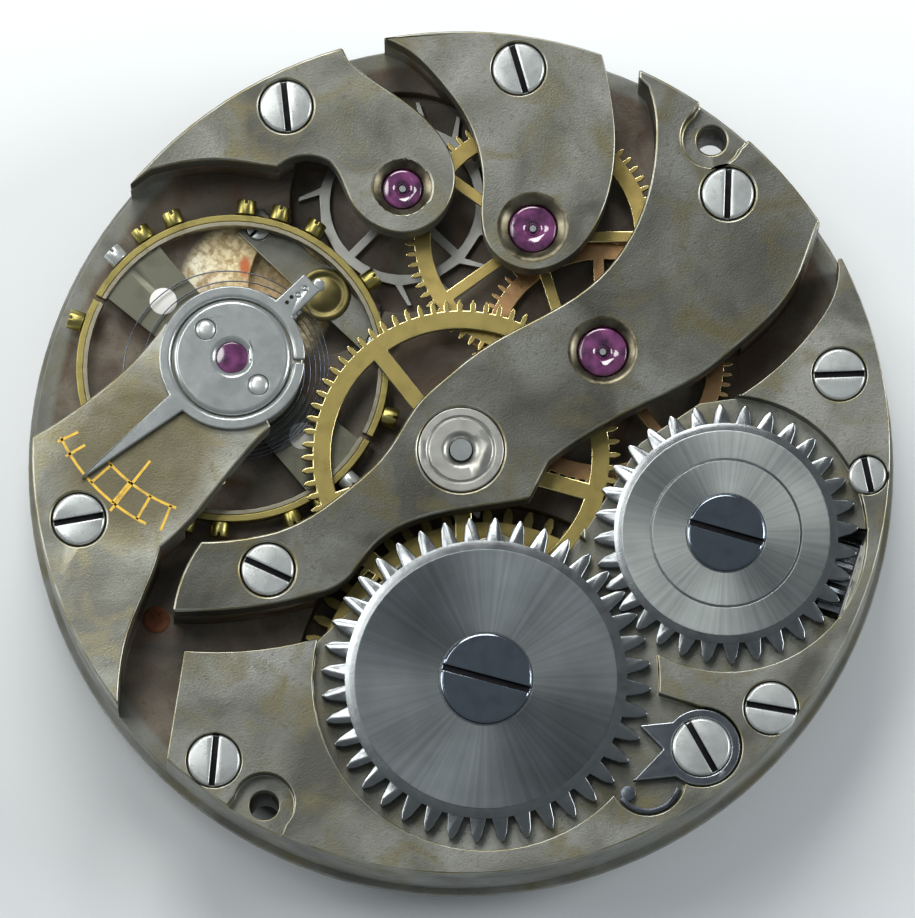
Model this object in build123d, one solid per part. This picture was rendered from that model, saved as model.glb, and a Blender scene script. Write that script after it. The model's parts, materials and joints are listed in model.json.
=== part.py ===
"""A mechanical watch movement, seen from the bridge side.

All sizes are millimetres. The origin lies on the axis of the main plate, on its dial face,
and +Z points from the dial face to the bridges. +Y points to the top of the photograph.
"""
from build123d import *
from math import atan2, cos, degrees, hypot, radians, sin
import os

os.makedirs("parts", exist_ok=True)

# Overall sizes of the movement
plate_r = 13.30            # radius of the plate and of the bridges' outer edges
flange_r = 13.50           # radius of the case flange at the dial side
flange_h = 0.42            # height of the case flange
seat_z = 2.45              # height at which the bridges sit on the plate
bridge_t = 0.95            # thickness of every bridge and cock
floor_z = 1.20             # top of the plate under the wheels
deep_floor_z = 0.65        # floor of the barrel and centre pinion pockets
escape_floor_z = 0.70      # floor of the escapement pocket
dial_recess_h = 0.45       # depth of the recess for the motion work
bridge_top = seat_z + bridge_t

# Clearances and overruns
fit = 0.02                 # radial clearance of a turning or seated fit
air = 0.10                 # clearance beside a piece that moves
pocket_air = 0.25          # clearance round a wheel in its pocket
over = 0.60                # overrun of a cut past the surface that it opens

# Where the train lies, as distances and directions from axis to axis
centre_third_distance = 5.41
third_angle = 35.5
third_fourth_distance = 4.47
fourth_angle = 119.0
fourth_escape_distance = 4.25
escape_angle = 162.7
escape_pallet_distance = 3.775
pallet_balance_distance = 3.81
lever_angle = 225.85
centre_barrel_distance = 7.26
barrel_angle = -83.9
barrel_crown_distance = 8.737
crown_angle = 31.7

# Tooth counts
centre_teeth = 72
third_leaves = 9
third_teeth = 75
fourth_leaves = 10
fourth_teeth = 70
escape_leaves = 7
escape_teeth = 15
barrel_teeth = 54
centre_leaves = 16
ratchet_teeth = 40
crown_teeth = 32
winding_teeth = 10
cannon_leaves = 12
minute_teeth = 36
minute_leaves = 10
hour_teeth = 40
setting_teeth = 34

# Tooth form, in shares of the module or of the pitch
wheel_tip_share = 1.15
wheel_root_share = 1.45
pinion_tip_share = 0.70
pinion_root_share = 1.45
tooth_width_share = 0.44
leaf_width_share = 0.36
tooth_crest_share = 0.35

# Levels of the going train
centre_pinion_low = 0.72
centre_pinion_h = 0.50
barrel_h = 1.24
barrel_tooth_h = 0.40
third_wheel_low = 1.42
train_wheel_t = 0.15
fourth_pinion_low = 1.32
pinion_h = 0.36
fourth_wheel_low = 1.80
escape_pinion_low = 1.70
escape_wheel_low = 0.85
escape_wheel_t = 0.15
centre_wheel_low = 2.13
centre_wheel_t = 0.22
third_pinion_low = 2.06

# Arbors, pivots and jewels of the going train
arbor_r = 0.30
pivot_r = 0.10
centre_arbor_r = 0.50
centre_pivot_r = 0.34
jewel_t = 0.32
lower_jewel_r = 0.50
upper_jewel_r = {"third": 0.77, "fourth": 0.74, "escape": 0.62}
sink_r = {"third": 1.10, "fourth": 1.12, "escape": 0.92}
sink_h = 0.22
oil_cup_r = 0.34
oil_cup_h = 0.14
lower_bushing_r = 0.78
bushing_r = 1.33
bushing_ring_r = 1.00
bushing_groove = 0.06
bushing_cup_r = 0.62
bushing_cup_h = 0.16

# Wheel crossings
centre_rim_r = 4.05
centre_hub_r = 1.05
centre_spokes = 5
centre_spoke_w = 0.52
centre_spoke_angle = 128.0
small_rim_w = 0.52
small_hub_r = 0.62
small_spoke_w = 0.34
third_spokes = 5
third_spoke_angle = 20.0
fourth_spokes = 5
fourth_spoke_angle = 0.0

# Escapement
escape_tip_r = 3.27
escape_root_r = 2.62
escape_rim_r = 2.28
escape_spokes = 4
escape_spoke_w = 0.26
escape_tooth_angle = 5.2
escape_tip_angle = 2.4
escape_lean_angle = 6.5
escape_lock_gap = 0.03
pallet_arm_w = 0.42
pallet_arm_share = 1.12
stone_l = 0.62
stone_w = 0.24
fork_low = 0.84
fork_t = 0.18
fork_lever_w = 0.34
fork_slot_w = 0.27
fork_horn_w = 0.26
fork_horn_l = 0.42
guard_pin_r = 0.05
pallet_arbor_r = 0.16
pallet_pivot_r = 0.07
pallet_jewel_r = 0.34
pallet_jewel_t = 0.16
pallet_bridge_t = 0.20
pallet_bridge_w = 1.10
pallet_bridge_reach = 3.00
pallet_screw_reach = 2.62
pallet_boss_r = 0.72
pallet_bay_r = 2.20
lever_channel_w = 1.90
roller_bay_r = 1.35

# Balance
balance_rim_low = 1.53
balance_rim_h = 0.45
balance_steel_in_r = 4.52
balance_steel_out_r = 4.66
balance_brass_out_r = 4.88
balance_arm_low = 1.66
balance_arm_t = 0.18
balance_arm_angle = 135.5
balance_arm_mid_w = 1.50
balance_arm_end_w = 2.36
balance_hub_r = 0.95
balance_cut_w = 0.14
balance_cut_angle = 16.8
arm_stud_reach = 3.05
arm_stud_r = 0.42
arm_stud_h = 0.03
balance_screw_r = 0.31
balance_screw_out_r = 5.37
balance_screw_neck_r = 0.14
balance_screw_z = 1.755
balance_screw_slot_w = 0.08
balance_screw_slot_h = 0.12
balance_screw_angles = (12, 24, 50, 62, 75, 102, 153)
roller_r = 0.95
roller_low = 1.08
roller_t = 0.17
impulse_orbit_r = 0.72
impulse_r = 0.11
crescent_r = 0.17
crescent_rise = 0.06
staff_r = 0.28
staff_flange_r = 0.62
staff_flange_t = 0.12
staff_pivot_r = 0.08
staff_cone_h = 0.10

# Hairspring, collet, stud and regulator
spring_wire_d = 0.12
spring_pitch = 0.56
spring_start_r = 0.75
spring_half_turns = 10
spring_curb_half_turn = 8     # the half turn that runs between the curb pins
spring_test_steps = 60         # points on each half turn when its gaps are measured
spring_z = 2.00
spring_bend_share = 1.2      # radius of the bend at the collet, in wire diameters
collet_r = 0.46
collet_t = 0.24
collet_block_w = 0.40
collet_flat_r = 0.50
stud_angle = 248.0
stud_side = 0.36
stud_drop = 0.08
stud_depth = 0.45
stud_screw_r = 0.12
stud_screw_l = 0.62
stud_screw_gap = 0.02
stud_screw_angle = -22.0
regulator_in_r = 1.88
regulator_out_r = 2.27
regulator_t = 0.20
regulator_gap_w = 0.11
regulator_gap_angle = -3.0
pointer_reach = 6.00
pointer_root_angle = 19.0
pointer_angle = 219.3
pointer_tip_w = 0.07
tail_reach = 3.45
tail_w = 0.72
tail_angle = 44.0
curb_pin_r = 0.07
curb_drop = 0.08

# End caps and cap jewels
cap_t = 0.24
cap_dish_r = 1.45
cap_dish_h = 0.05
cap_jewel_r = 0.50
cap_jewel_t = 0.14
cap_sink_r = 0.70
cap_screw_r = 0.32
cap_screw_shank_r = 0.14
cap_screw_reach = 1.20
cap_screw_angle = 133.0
cap_screw_l = 0.85
cap_screw_sink = 0.10
cap_screw_rise = 0.04
balance_jewel_r = 0.55
balance_jewel_t = 0.26
lower_cap_r = 1.25
lower_cap_t = 0.23
lower_cap_rise = 0.05
lower_cap_screw_reach = 0.85
lower_cap_screw_r = 0.28
lower_cap_sink = 0.11
lower_cap_jewel_r = 0.40

# Barrel and winding work
barrel_wall = 0.16
barrel_drum_r = 5.20
barrel_floor_t = 0.18
barrel_cover_t = 0.14
barrel_arbor_r = 0.95
barrel_core_r = 1.45
barrel_lower_pivot_r = 0.55
barrel_pivot_low = 0.10
mainspring_in_r = 2.90
square_side = 1.35
ratchet_low = 2.98
ratchet_t = 0.46
ratchet_tip_r = 5.10
ratchet_root_r = 4.16
ratchet_bevel = 0.08
recess_floor_z = 2.92
ratchet_recess_r = 5.36
ratchet_screw_r = 1.43
ratchet_screw_sink = 0.14
ratchet_screw_t = 0.30
ratchet_screw_shank_r = 0.42
ratchet_screw_l = 1.10
crown_t = 0.42
crown_tip_r = 4.09
crown_root_r = 3.32
crown_recess_r = 4.36
crown_bore_r = 1.60
crown_groove_r = 2.34
crown_flange_t = 0.20
crown_screw_r = 1.22
crown_screw_shank_r = 0.45
crown_screw_sink = 0.14
crown_screw_t = 0.30
crown_screw_l = 0.78
winding_width_share = 0.44
winding_crest_share = 0.25
winding_root_share = 2.10
pinion_crest_share = 0.35

# Click and its spring
click_ring_r = 1.20
click_ring_air = 0.06
click_t = 0.34
click_screw_r = 0.90
click_screw_h = 0.50
click_screw_shank_r = 0.32
click_screw_l = 0.44
click_tip_angle = -16.8
click_heel_tip_angle = -35.1
click_lock = 0.16
click_heel_gap = 0.42
click_prong_w = 0.52
click_root_share = 0.80
click_spring_t = 0.22
click_spring_w = 0.16
click_spring_in_r = 0.90
click_spring_from = 215.0
click_spring_sweep = 130.0
click_spring_foot_r = 0.24

# Keyless work, on the stem axis
stem_z = 1.75
stem_r = 0.50
stem_mouth_l = 0.12         # flare at the outer end of the stem's hole
stem_mouth_r = 0.62
stem_pilot_r = 0.32
stem_pilot_l = 1.60
winding_tip_r = 1.35
winding_root_r = 1.05
winding_from = 11.95
winding_to = 12.66
sliding_teeth = 12
sliding_from = 10.40
sliding_to = 11.92
sliding_r = 0.98
sliding_root_r = 0.80
sliding_end_w = 0.42
sliding_groove_r = 0.62
sliding_groove_from = 10.98
sliding_groove_w = 0.36
sliding_travel = 0.90
square_hole_side = 0.55
keyless_slot_from = 9.25
keyless_recess_from = 8.30
keyless_recess_half_w = 4.95
edge_wall = 0.35           # wall between the recess and the plate's edge
setting_distance = 7.14
setting_wheel_low = 0.14
setting_wheel_t = 0.20
setting_post_r = 0.55
setting_screw_reach = 12.62
setting_screw_angle = -3.6
setting_slot_angle = -78.0
setting_screw_r = 0.58
setting_screw_shank_r = 0.28
setting_boss_r = 0.50
setting_lever_w = 0.55
setting_tail_along = 11.86
setting_tail_aside = 0.35
lever_low = 0.14
lever_t = 0.20
yoke_w = 0.60
yoke_boss_r = 0.50
yoke_post_r = 0.25
yoke_pin_r = 0.12
yoke_reach = 4.20
yoke_spring_w = 0.14
yoke_spring_foot_r = 0.32
yoke_spring_root_along = 8.75
yoke_spring_root_aside = -4.50
yoke_spring_along = 9.95
yoke_spring_aside = -1.60
cover_t = 0.12
cover_from = 6.95
cover_to = 12.60
cover_half_w = 4.30
cover_notch_r = 1.60
cover_screw_inset = 0.55
cover_screw_r = 0.42
cover_screw_shank_r = 0.20
cover_screw_l = 0.43

# Motion work
cannon_pipe_r = 0.68
minute_seat_r = 0.51
cannon_length = 2.05
cannon_leaf_low = 0.19
cannon_leaf_h = 0.24
hour_pipe_r = 0.95
hour_pipe_length = 1.35
hour_wheel_low = 0.03
motion_wheel_t = 0.13
minute_distance = 2.90
minute_wheel_low = 0.24
minute_post_r = 0.30

# Screws, holes and feet
screw_head_r = 0.81
screw_head_t = 0.42
screw_sink_air = 0.05
screw_rise = 0.02
screw_shank_r = 0.36
screw_l = 1.45
screw_slot_w = 0.18
screw_slot_h = 0.16
screw_bevel = 0.06
small_screw_r = 0.36
small_screw_t = 0.16
small_screw_shank_r = 0.16
small_screw_l = 0.42
small_slot_w = 0.09
small_slot_h = 0.08
small_bevel = 0.03
case_hole_r = 0.46
case_sink_r = 0.95
case_sink_h = 0.50
case_open_share = 0.55
dial_foot_r = 0.36
dial_foot_l = 1.00
dial_foot_reach = 12.35
dial_foot_angles = (75.0, 214.0)

# Where the top of the photograph's object lies, in pixels of the photograph
photo_centre_pixels = (461.0, 449.5)
photo_radius_pixels = (429.3, 421.6)

# Outlines of the bridges' top faces, in pixels of the photograph. Each step is a list of
# points after the last one: one point is a straight line, and more are a smooth curve.
escape_cock_pixels = [
    [(110, 196)], [(150, 168)],
    [(186, 160), (222, 158), (252, 162), (276, 166)],
    [(292, 156), (311, 154), (329, 160)],
    [(340, 176), (352, 203), (374, 224), (403, 232), (434, 221), (451, 197), (455, 170),
     (445, 141), (413, 105), (371, 76), (348, 58)],
    [(330, 20)], [(110, 60)],
]
fourth_cock_pixels = [
    [(384, 36)],
    [(410, 49), (442, 81), (465, 113), (479, 149), (483, 186)],
    [(482, 222), (489, 245), (509, 263), (535, 269), (563, 260), (587, 238), (605, 205),
     (614, 168), (616, 131), (612, 94), (607, 68)],
    [(600, 40)], [(500, 5)], [(380, 10)],
]
train_bridge_pixels = [
    [(640, 76)], [(649, 84)],
    [(656, 115), (656, 147), (651, 181), (634, 229), (603, 273), (564, 303), (519, 327),
     (475, 353), (444, 378), (420, 400), (388, 449), (342, 493), (313, 514), (280, 530)],
    [(243, 538), (201, 541)],
    [(183, 573), (173, 611)],
    [(234, 609), (322, 592)],
    [(352, 573), (373, 546), (397, 528), (455, 510), (530, 498)],
    [(540, 478), (549, 461)],
    [(596, 429), (640, 406), (690, 381), (744, 340), (777, 309), (805, 262)],
    [(819, 222)], [(860, 200)], [(820, 60)], [(660, 20)], [(640, 60)],
]
barrel_bridge_pixels = [
    [(839, 258)],
    [(834, 296), (812, 331), (777, 368), (742, 394)],
    [(700, 400)], [(640, 440)], [(590, 520)], [(560, 560)], [(500, 530)], [(400, 560)],
    [(317, 638)],
    [(250, 650), (185, 650)],
    [(166, 770)], [(150, 820)], [(300, 930)], [(620, 930)], [(860, 760)], [(930, 560)],
    [(930, 380)], [(880, 250)],
]
balance_cock_pixels = [
    [(10, 446)],
    [(42, 431), (89, 399), (131, 363), (165, 322)],
    [(231, 358)],
    [(271, 426)],
    [(240, 459), (212, 494), (185, 526), (161, 547)],
    [(144, 594), (128, 635), (121, 672), (119, 712)],
    [(110, 760)], [(20, 700)], [(-10, 560)],
]
cock_head_r = 2.20

# Screws of the bridges and the direction of each slot, in pixels and degrees
bridge_screw_pixels = {
    "escape_cock": [(285, 104, 96.0)],
    "fourth_cock": [(519, 66, -74.0)],
    "train_bridge": [(729, 192, 88.0), (268, 569, -25.0)],
    "balance_cock": [(79, 519, 10.0)],
    "barrel_bridge": [(840, 374, 2.0), (770, 707, -10.0), (215, 759, 85.0)],
}
case_hole_pixels = {"train_bridge": (713, 135), "barrel_bridge": (265, 801)}
click_screw_pixels = (700.5, 745.5)
click_spring_pixels = (647, 777)
click_slot_angle = -61.0
ratchet_slot_angle = -15.0
crown_slot_angle = -16.0


def polar(origin, distance, angle):
    """The point at a distance and a direction from another."""
    turn = radians(angle)
    return Vector(origin.X + distance * cos(turn), origin.Y + distance * sin(turn))


def spot(pixel):
    """A pixel of the photograph, as a place on the bridges' top."""
    across = (pixel[0] - photo_centre_pixels[0]) / photo_radius_pixels[0]
    up = (photo_centre_pixels[1] - pixel[1]) / photo_radius_pixels[1]
    return Vector(across * plate_r, up * plate_r)


def bearing(start, end):
    """The direction from one place to another, in degrees."""
    return degrees(atan2(end.Y - start.Y, end.X - start.X))


# Places of the axes
centre = Vector(0, 0)
third = polar(centre, centre_third_distance, third_angle)
fourth = polar(third, third_fourth_distance, fourth_angle)
escape = polar(fourth, fourth_escape_distance, escape_angle)
pallet = polar(escape, escape_pallet_distance, lever_angle)
balance = polar(pallet, pallet_balance_distance, lever_angle)
barrel = polar(centre, centre_barrel_distance, barrel_angle)
crown = polar(barrel, barrel_crown_distance, crown_angle)
click = spot(click_screw_pixels)
click_spring_place = spot(click_spring_pixels)
stem_angle = bearing(centre, crown)
minute = polar(centre, minute_distance, stem_angle)
setting = polar(centre, setting_distance, stem_angle)
setting_screw = polar(centre, setting_screw_reach, setting_screw_angle)


def band(place, inner, outer, start, sweep_angle):
    """A flat strip along an arc."""
    end = start + sweep_angle
    edges = [
        CenterArc(place, outer, start, sweep_angle),
        Line(polar(place, outer, end), polar(place, inner, end)),
        CenterArc(place, inner, start, sweep_angle),
        Line(polar(place, inner, start), polar(place, outer, start)),
    ]
    return make_face(Wire(edges))


def slab(face, low, high):
    """A flat face made solid between two heights."""
    return Pos(0, 0, low) * extrude(face, amount=high - low)


def disc(place, radius, low, high):
    """An upright cylinder between two heights."""
    return Pos(place.X, place.Y, low) * Cylinder(
        radius, high - low, align=(Align.CENTER, Align.CENTER, Align.MIN))


def ring(place, outer, inner, low, high):
    """An upright tube between two heights."""
    return disc(place, outer, low, high) - disc(place, inner, low - over, high + over)


def taper(place, low_r, high_r, low, high):
    """An upright cone between two heights."""
    return Pos(place.X, place.Y, low) * Cone(
        low_r, high_r, high - low, align=(Align.CENTER, Align.CENTER, Align.MIN))


def bar(start, end, width, low, high):
    """A straight bar with square ends between two places."""
    length = hypot(end.X - start.X, end.Y - start.Y)
    shape = Box(length, width, high - low, align=(Align.MIN, Align.CENTER, Align.MIN))
    return Pos(start.X, start.Y, low) * Rot(0, 0, bearing(start, end)) * shape


def one(shape):
    """The solids of a shape, as one solid or a compound."""
    solids = shape.solids()
    return solids[0] if len(solids) == 1 else Compound(children=list(solids))


def outline(steps):
    """The face inside an outline of photograph pixels."""
    edges = []
    last = spot(steps[-1][-1])
    for step in steps:
        points = [last] + [spot(pixel) for pixel in step]
        edges.append(Line(*points) if len(step) == 1 else Spline(*points))
        last = points[-1]
    return make_face(Wire(edges))


def toothed(place, teeth, root_r, pitch_r, tip_r, phase, width_share, crest_share,
            root_share=1):
    """A toothed face, with the middle of one tooth at the phase angle."""
    pitch = 360 / teeth
    half = pitch * width_share / 2
    points = []
    for tooth in range(teeth):
        middle = phase + tooth * pitch
        points += [
            polar(place, root_r, middle - half * root_share),
            polar(place, pitch_r, middle - half),
            polar(place, tip_r, middle - half * crest_share),
            polar(place, tip_r, middle + half * crest_share),
            polar(place, pitch_r, middle + half),
            polar(place, root_r, middle + half * root_share),
        ]
    return make_face(Polyline(*points, close=True))


def wheel_face(place, teeth, module, phase):
    """The face of a train wheel, without its crossings."""
    pitch_r = module * teeth / 2
    return toothed(place, teeth, pitch_r - module * wheel_root_share, pitch_r,
                   pitch_r + module * wheel_tip_share, phase, tooth_width_share,
                   tooth_crest_share)


def pinion_face(place, leaves, module, phase):
    """The face of a pinion's leaves."""
    pitch_r = module * leaves / 2
    return toothed(place, leaves, pitch_r - module * pinion_root_share, pitch_r,
                   pitch_r + module * pinion_tip_share, phase, leaf_width_share,
                   tooth_crest_share)


def crossed(face, place, rim_in_r, hub_r, bore_r, spokes, spoke_w, first_angle):
    """A wheel's face with its rim, spokes, hub and bore."""
    here = Pos(place.X, place.Y)
    crossing = here * Circle(rim_in_r)
    for spoke in range(spokes):
        arm = Pos(rim_in_r / 2, 0) * Rectangle(rim_in_r, spoke_w)
        crossing -= here * Rot(0, 0, first_angle + spoke * 360 / spokes) * arm
    crossing -= here * Circle(hub_r)
    return face - crossing - here * Circle(bore_r)


def module_of(distance, first, second):
    """The module of two meshed wheels."""
    return 2 * distance / (first + second)


centre_module = module_of(centre_third_distance, centre_teeth, third_leaves)
third_module = module_of(third_fourth_distance, third_teeth, fourth_leaves)
fourth_module = module_of(fourth_escape_distance, fourth_teeth, escape_leaves)
barrel_module = module_of(centre_barrel_distance, barrel_teeth, centre_leaves)
winding_module = module_of(barrel_crown_distance, ratchet_teeth, crown_teeth)
cannon_module = module_of(minute_distance, cannon_leaves, minute_teeth)
hour_module = module_of(minute_distance, hour_teeth, minute_leaves)

centre_tip_r = centre_module * (centre_teeth / 2 + wheel_tip_share)
third_tip_r = third_module * (third_teeth / 2 + wheel_tip_share)
fourth_tip_r = fourth_module * (fourth_teeth / 2 + wheel_tip_share)
barrel_tip_r = barrel_module * (barrel_teeth / 2 + wheel_tip_share)
centre_pinion_tip_r = barrel_module * (centre_leaves / 2 + pinion_tip_share)
minute_tip_r = cannon_module * (minute_teeth / 2 + wheel_tip_share)
setting_tip_r = cannon_module * (setting_teeth / 2 + wheel_tip_share)
hour_tip_r = hour_module * (hour_teeth / 2 + wheel_tip_share)


def slotted_head(place, radius, low, high, slot_angle, slot_w=screw_slot_w,
                 slot_h=screw_slot_h, bevel=screw_bevel):
    """A cheese head with a chamfered rim and a driver slot."""
    head = disc(place, radius, low, high - bevel)
    head += taper(place, radius, radius - bevel, high - bevel, high)
    slot = Box(2 * (radius + over), slot_w, 2 * slot_h)
    return head - Pos(place.X, place.Y, high) * Rot(0, 0, slot_angle) * slot


def screw(place, head_r, head_low, head_high, shank_r, length, slot_angle):
    """A screw with its head at the top and a plain shank for its thread."""
    body = slotted_head(place, head_r, head_low, head_high, slot_angle)
    return body + disc(place, shank_r, head_low - length, head_low)


def jewel(place, radius, low, high, hole_r, cup_at_top):
    """A hole jewel with its oil cup."""
    stone = disc(place, radius, low, high) - disc(place, hole_r, low - over, high + over)
    if cup_at_top:
        return stone - taper(place, hole_r, oil_cup_r, high - oil_cup_h, high)
    return stone - taper(place, oil_cup_r, hole_r, low, low + oil_cup_h)


# Heights that the bridges and screws share
head_low = bridge_top + screw_rise - screw_head_t
jewel_high = bridge_top - sink_h
jewel_low = jewel_high - jewel_t
cap_low = bridge_top + fit
cap_high = cap_low + cap_t
regulator_low = bridge_top + fit
regulator_high = regulator_low + regulator_t
pallet_bridge_low = floor_z
pallet_bridge_high = pallet_bridge_low + pallet_bridge_t
staff_low = lower_cap_rise + lower_cap_t + fit
staff_high = cap_low - fit

bridge_faces = {
    "escape_cock": outline(escape_cock_pixels),
    "fourth_cock": outline(fourth_cock_pixels),
    "train_bridge": outline(train_bridge_pixels),
    "barrel_bridge": outline(barrel_bridge_pixels),
    "balance_cock": outline(balance_cock_pixels),
}


def pocket_face():
    """The flat outline of the room round the wheels, and of all that no bridge covers."""
    face = Circle(flange_r + over)
    for seat in bridge_faces.values():
        face -= seat
    rooms = (
        (centre, centre_tip_r + pocket_air),
        (third, third_tip_r + pocket_air),
        (fourth, fourth_tip_r + pocket_air),
        (escape, escape_tip_r + pocket_air),
        (balance, balance_screw_out_r + air),
        (barrel, barrel_tip_r + air),
    )
    for place, radius in rooms:
        face += Pos(place.X, place.Y) * Circle(radius)
    return face


def plate_body():
    """The plate's disc and flange, with the seats that rise under the bridges."""
    body = disc(centre, plate_r, 0, seat_z) - slab(pocket_face(), floor_z, seat_z + over)
    return body + disc(centre, flange_r, 0, flange_h)


def floor_pockets():
    """The hollows of the barrel, the centre pinion and the escapement below the floor."""
    high = floor_z + over
    return [
        disc(barrel, barrel_tip_r + air, deep_floor_z, high),
        disc(centre, centre_pinion_tip_r + air, deep_floor_z, high),
        disc(escape, escape_tip_r + pocket_air, escape_floor_z, high),
        disc(pallet, pallet_bay_r, escape_floor_z, high),
        bar(pallet, balance, lever_channel_w, escape_floor_z, high),
        disc(balance, roller_bay_r, escape_floor_z, high),
    ]


def dial_side_cuts():
    """The recesses of the motion work and the keyless work, and the dial feet's holes."""
    cuts = [
        disc(centre, hour_tip_r + air, -over, dial_recess_h),
        disc(minute, minute_tip_r + air, -over, dial_recess_h),
        disc(setting, setting_tip_r + air, -over, dial_recess_h),
        keyless_recess(),
        cover_shape(fit, -over, cover_t),
        disc(balance, lower_cap_r + fit, -over, lower_cap_rise + lower_cap_t),
    ]
    for angle in dial_foot_angles:
        cuts.append(disc(polar(centre, dial_foot_reach, angle), dial_foot_r, -over, dial_foot_l))
    return cuts


def bearing_cuts():
    """The holes of the plate's jewels, bushing and arbors."""
    cuts = [
        disc(pallet, pallet_jewel_r, escape_floor_z - pallet_jewel_t, escape_floor_z + over),
        disc(balance, balance_jewel_r, lower_cap_rise, escape_floor_z + over),
        disc(centre, lower_bushing_r, 0, deep_floor_z + over),
        disc(barrel, barrel_lower_pivot_r + fit, -over, deep_floor_z + over),
    ]
    for place, low in ((third, floor_z), (fourth, floor_z), (escape, escape_floor_z)):
        cuts.append(disc(place, lower_jewel_r, low - jewel_t, low + over))
    return cuts


def screw_cuts():
    """The holes of all the screws that enter the plate."""
    high = seat_z + over
    cuts = []
    for name, screws in bridge_screw_pixels.items():
        for across, down, _ in screws:
            low = head_low - screw_l - fit
            cuts.append(disc(spot((across, down)), screw_shank_r + fit, low, high))
    for place in pallet_screw_places():
        low = pallet_bridge_high - small_screw_t - small_screw_l - fit
        cuts.append(disc(place, small_screw_shank_r + fit, low, floor_z + over))
    for place in lower_cap_screw_places():
        top = lower_cap_rise + small_screw_t + small_screw_l + fit
        cuts.append(disc(place, small_screw_shank_r + fit, 0, top))
    for place in cover_screw_places():
        cuts.append(disc(place, cover_screw_shank_r + fit, 0, cover_t + cover_screw_l + fit))
    cuts.append(disc(setting_screw, setting_screw_shank_r + fit, -over, high))
    for pixel in case_hole_pixels.values():
        cuts.append(disc(spot(pixel), case_hole_r, -over, high))
    return cuts


def main_plate():
    """The plate that carries every axis, with its seats, pockets and holes."""
    plate = plate_body() - (floor_pockets() + dial_side_cuts() + bearing_cuts() + screw_cuts())
    plate -= keyless_slot()
    plate -= stem_rod(stem_r, winding_to - over, flange_r + over)
    plate -= stem_mouth()
    plate -= stem_rod(stem_pilot_r, keyless_slot_from - stem_pilot_l, keyless_slot_from + over)
    plate += disc(minute, minute_post_r, hour_wheel_low, dial_recess_h + air)
    plate += disc(setting, setting_post_r, cover_t, dial_recess_h + air)
    plate += disc(yoke_pivot, yoke_post_r, lever_low, dial_recess_h + air)
    return one(plate)


def stem_place(along, aside):
    """A place given along and beside the stem axis."""
    return polar(polar(centre, along, stem_angle), aside, stem_angle + 90)


yoke_pin_along = sliding_groove_from + sliding_groove_w / 2
yoke_pin_place = stem_place(yoke_pin_along, 0)
yoke_pivot = stem_place(yoke_pin_along - sliding_travel / 2, -yoke_reach)


def cover_shape(clearance, low, high):
    """The outline of the cover plate of the keyless work, with a clearance."""
    length = cover_to - cover_from + 2 * clearance
    width = 2 * (cover_half_w + clearance)
    shape = Box(length, width, high - low, align=(Align.MIN, Align.CENTER, Align.MIN))
    shape = Rot(0, 0, stem_angle) * Pos(cover_from - clearance, 0, low) * shape
    return shape & disc(centre, plate_r - edge_wall + clearance, low, high)


def stem_rod(radius, start, end):
    """A rod along the stem axis, between two distances from the centre."""
    rod = Cylinder(radius, end - start, align=(Align.CENTER, Align.CENTER, Align.MIN))
    return Pos(0, 0, stem_z) * Rot(0, 0, stem_angle) * Rot(0, 90, 0) * Pos(0, 0, start) * rod


def stem_mouth():
    """The flare that leads the stem into its hole."""
    growth = (stem_mouth_r - stem_r) * over / stem_mouth_l
    flare = taper(centre, stem_r, stem_mouth_r + growth, 0, stem_mouth_l + over)
    start = plate_r - stem_mouth_l
    return Pos(0, 0, stem_z) * Rot(0, 0, stem_angle) * Rot(0, 90, 0) * Pos(0, 0, start) * flare


def keyless_slot():
    """The slot for the winding pinion and the sliding pinion."""
    width = 2 * (winding_tip_r + air)
    slot = Box(winding_to - keyless_slot_from + air, width, seat_z + 2 * over,
               align=(Align.MIN, Align.CENTER, Align.MIN))
    return Rot(0, 0, stem_angle) * Pos(keyless_slot_from, 0, -over) * slot


def keyless_recess():
    """The recess for the levers, with the bay of the setting lever's end."""
    recess = Box(plate_r - keyless_recess_from, 2 * keyless_recess_half_w,
                 dial_recess_h + over, align=(Align.MIN, Align.CENTER, Align.MIN))
    recess = Rot(0, 0, stem_angle) * Pos(keyless_recess_from, 0, -over) * recess
    recess = recess & disc(centre, plate_r - edge_wall, -over, dial_recess_h)
    return recess + disc(setting_screw, setting_boss_r + air, -over, dial_recess_h)


def cover_screw_places():
    """Where the cover plate of the keyless work is screwed to the main plate."""
    aside = cover_half_w - cover_screw_inset
    return [stem_place(cover_from + cover_screw_inset, aside),
            stem_place(cover_from + cover_screw_inset, -aside)]


def lower_cap_screw_places():
    """Where the lower cap of the balance is screwed to the plate."""
    return [polar(balance, lower_cap_screw_reach, lever_angle + turn) for turn in (90, -90)]


def mesh_phase(angle, driver_teeth, driver_phase, follower_teeth):
    """The phase that puts a wheel in mesh with the wheel that lies the other way."""
    gap = angle + 180 + 180 / follower_teeth
    return gap + (angle - driver_phase) * driver_teeth / follower_teeth


def screw_sinks(name, low):
    """The head sinks and shank holes of one bridge's screws."""
    cuts = []
    for across, down, _ in bridge_screw_pixels[name]:
        place = spot((across, down))
        cuts.append(disc(place, screw_head_r + screw_sink_air, head_low, bridge_top + over))
        cuts.append(disc(place, screw_shank_r + fit, low - over, head_low + over))
    return cuts


def bearing_hole(place, name):
    """The hole and the polished sink of one upper jewel."""
    hole = disc(place, upper_jewel_r[name] + fit, seat_z - over, jewel_high)
    return hole + taper(place, upper_jewel_r[name] + fit, sink_r[name], jewel_high, bridge_top)


def bridge(name):
    """A bridge's plain plate, with its screw holes."""
    shape = slab(bridge_faces[name], seat_z, bridge_top)
    shape &= disc(centre, plate_r, seat_z, bridge_top)
    for cut in screw_sinks(name, seat_z):
        shape -= cut
    return shape


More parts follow.
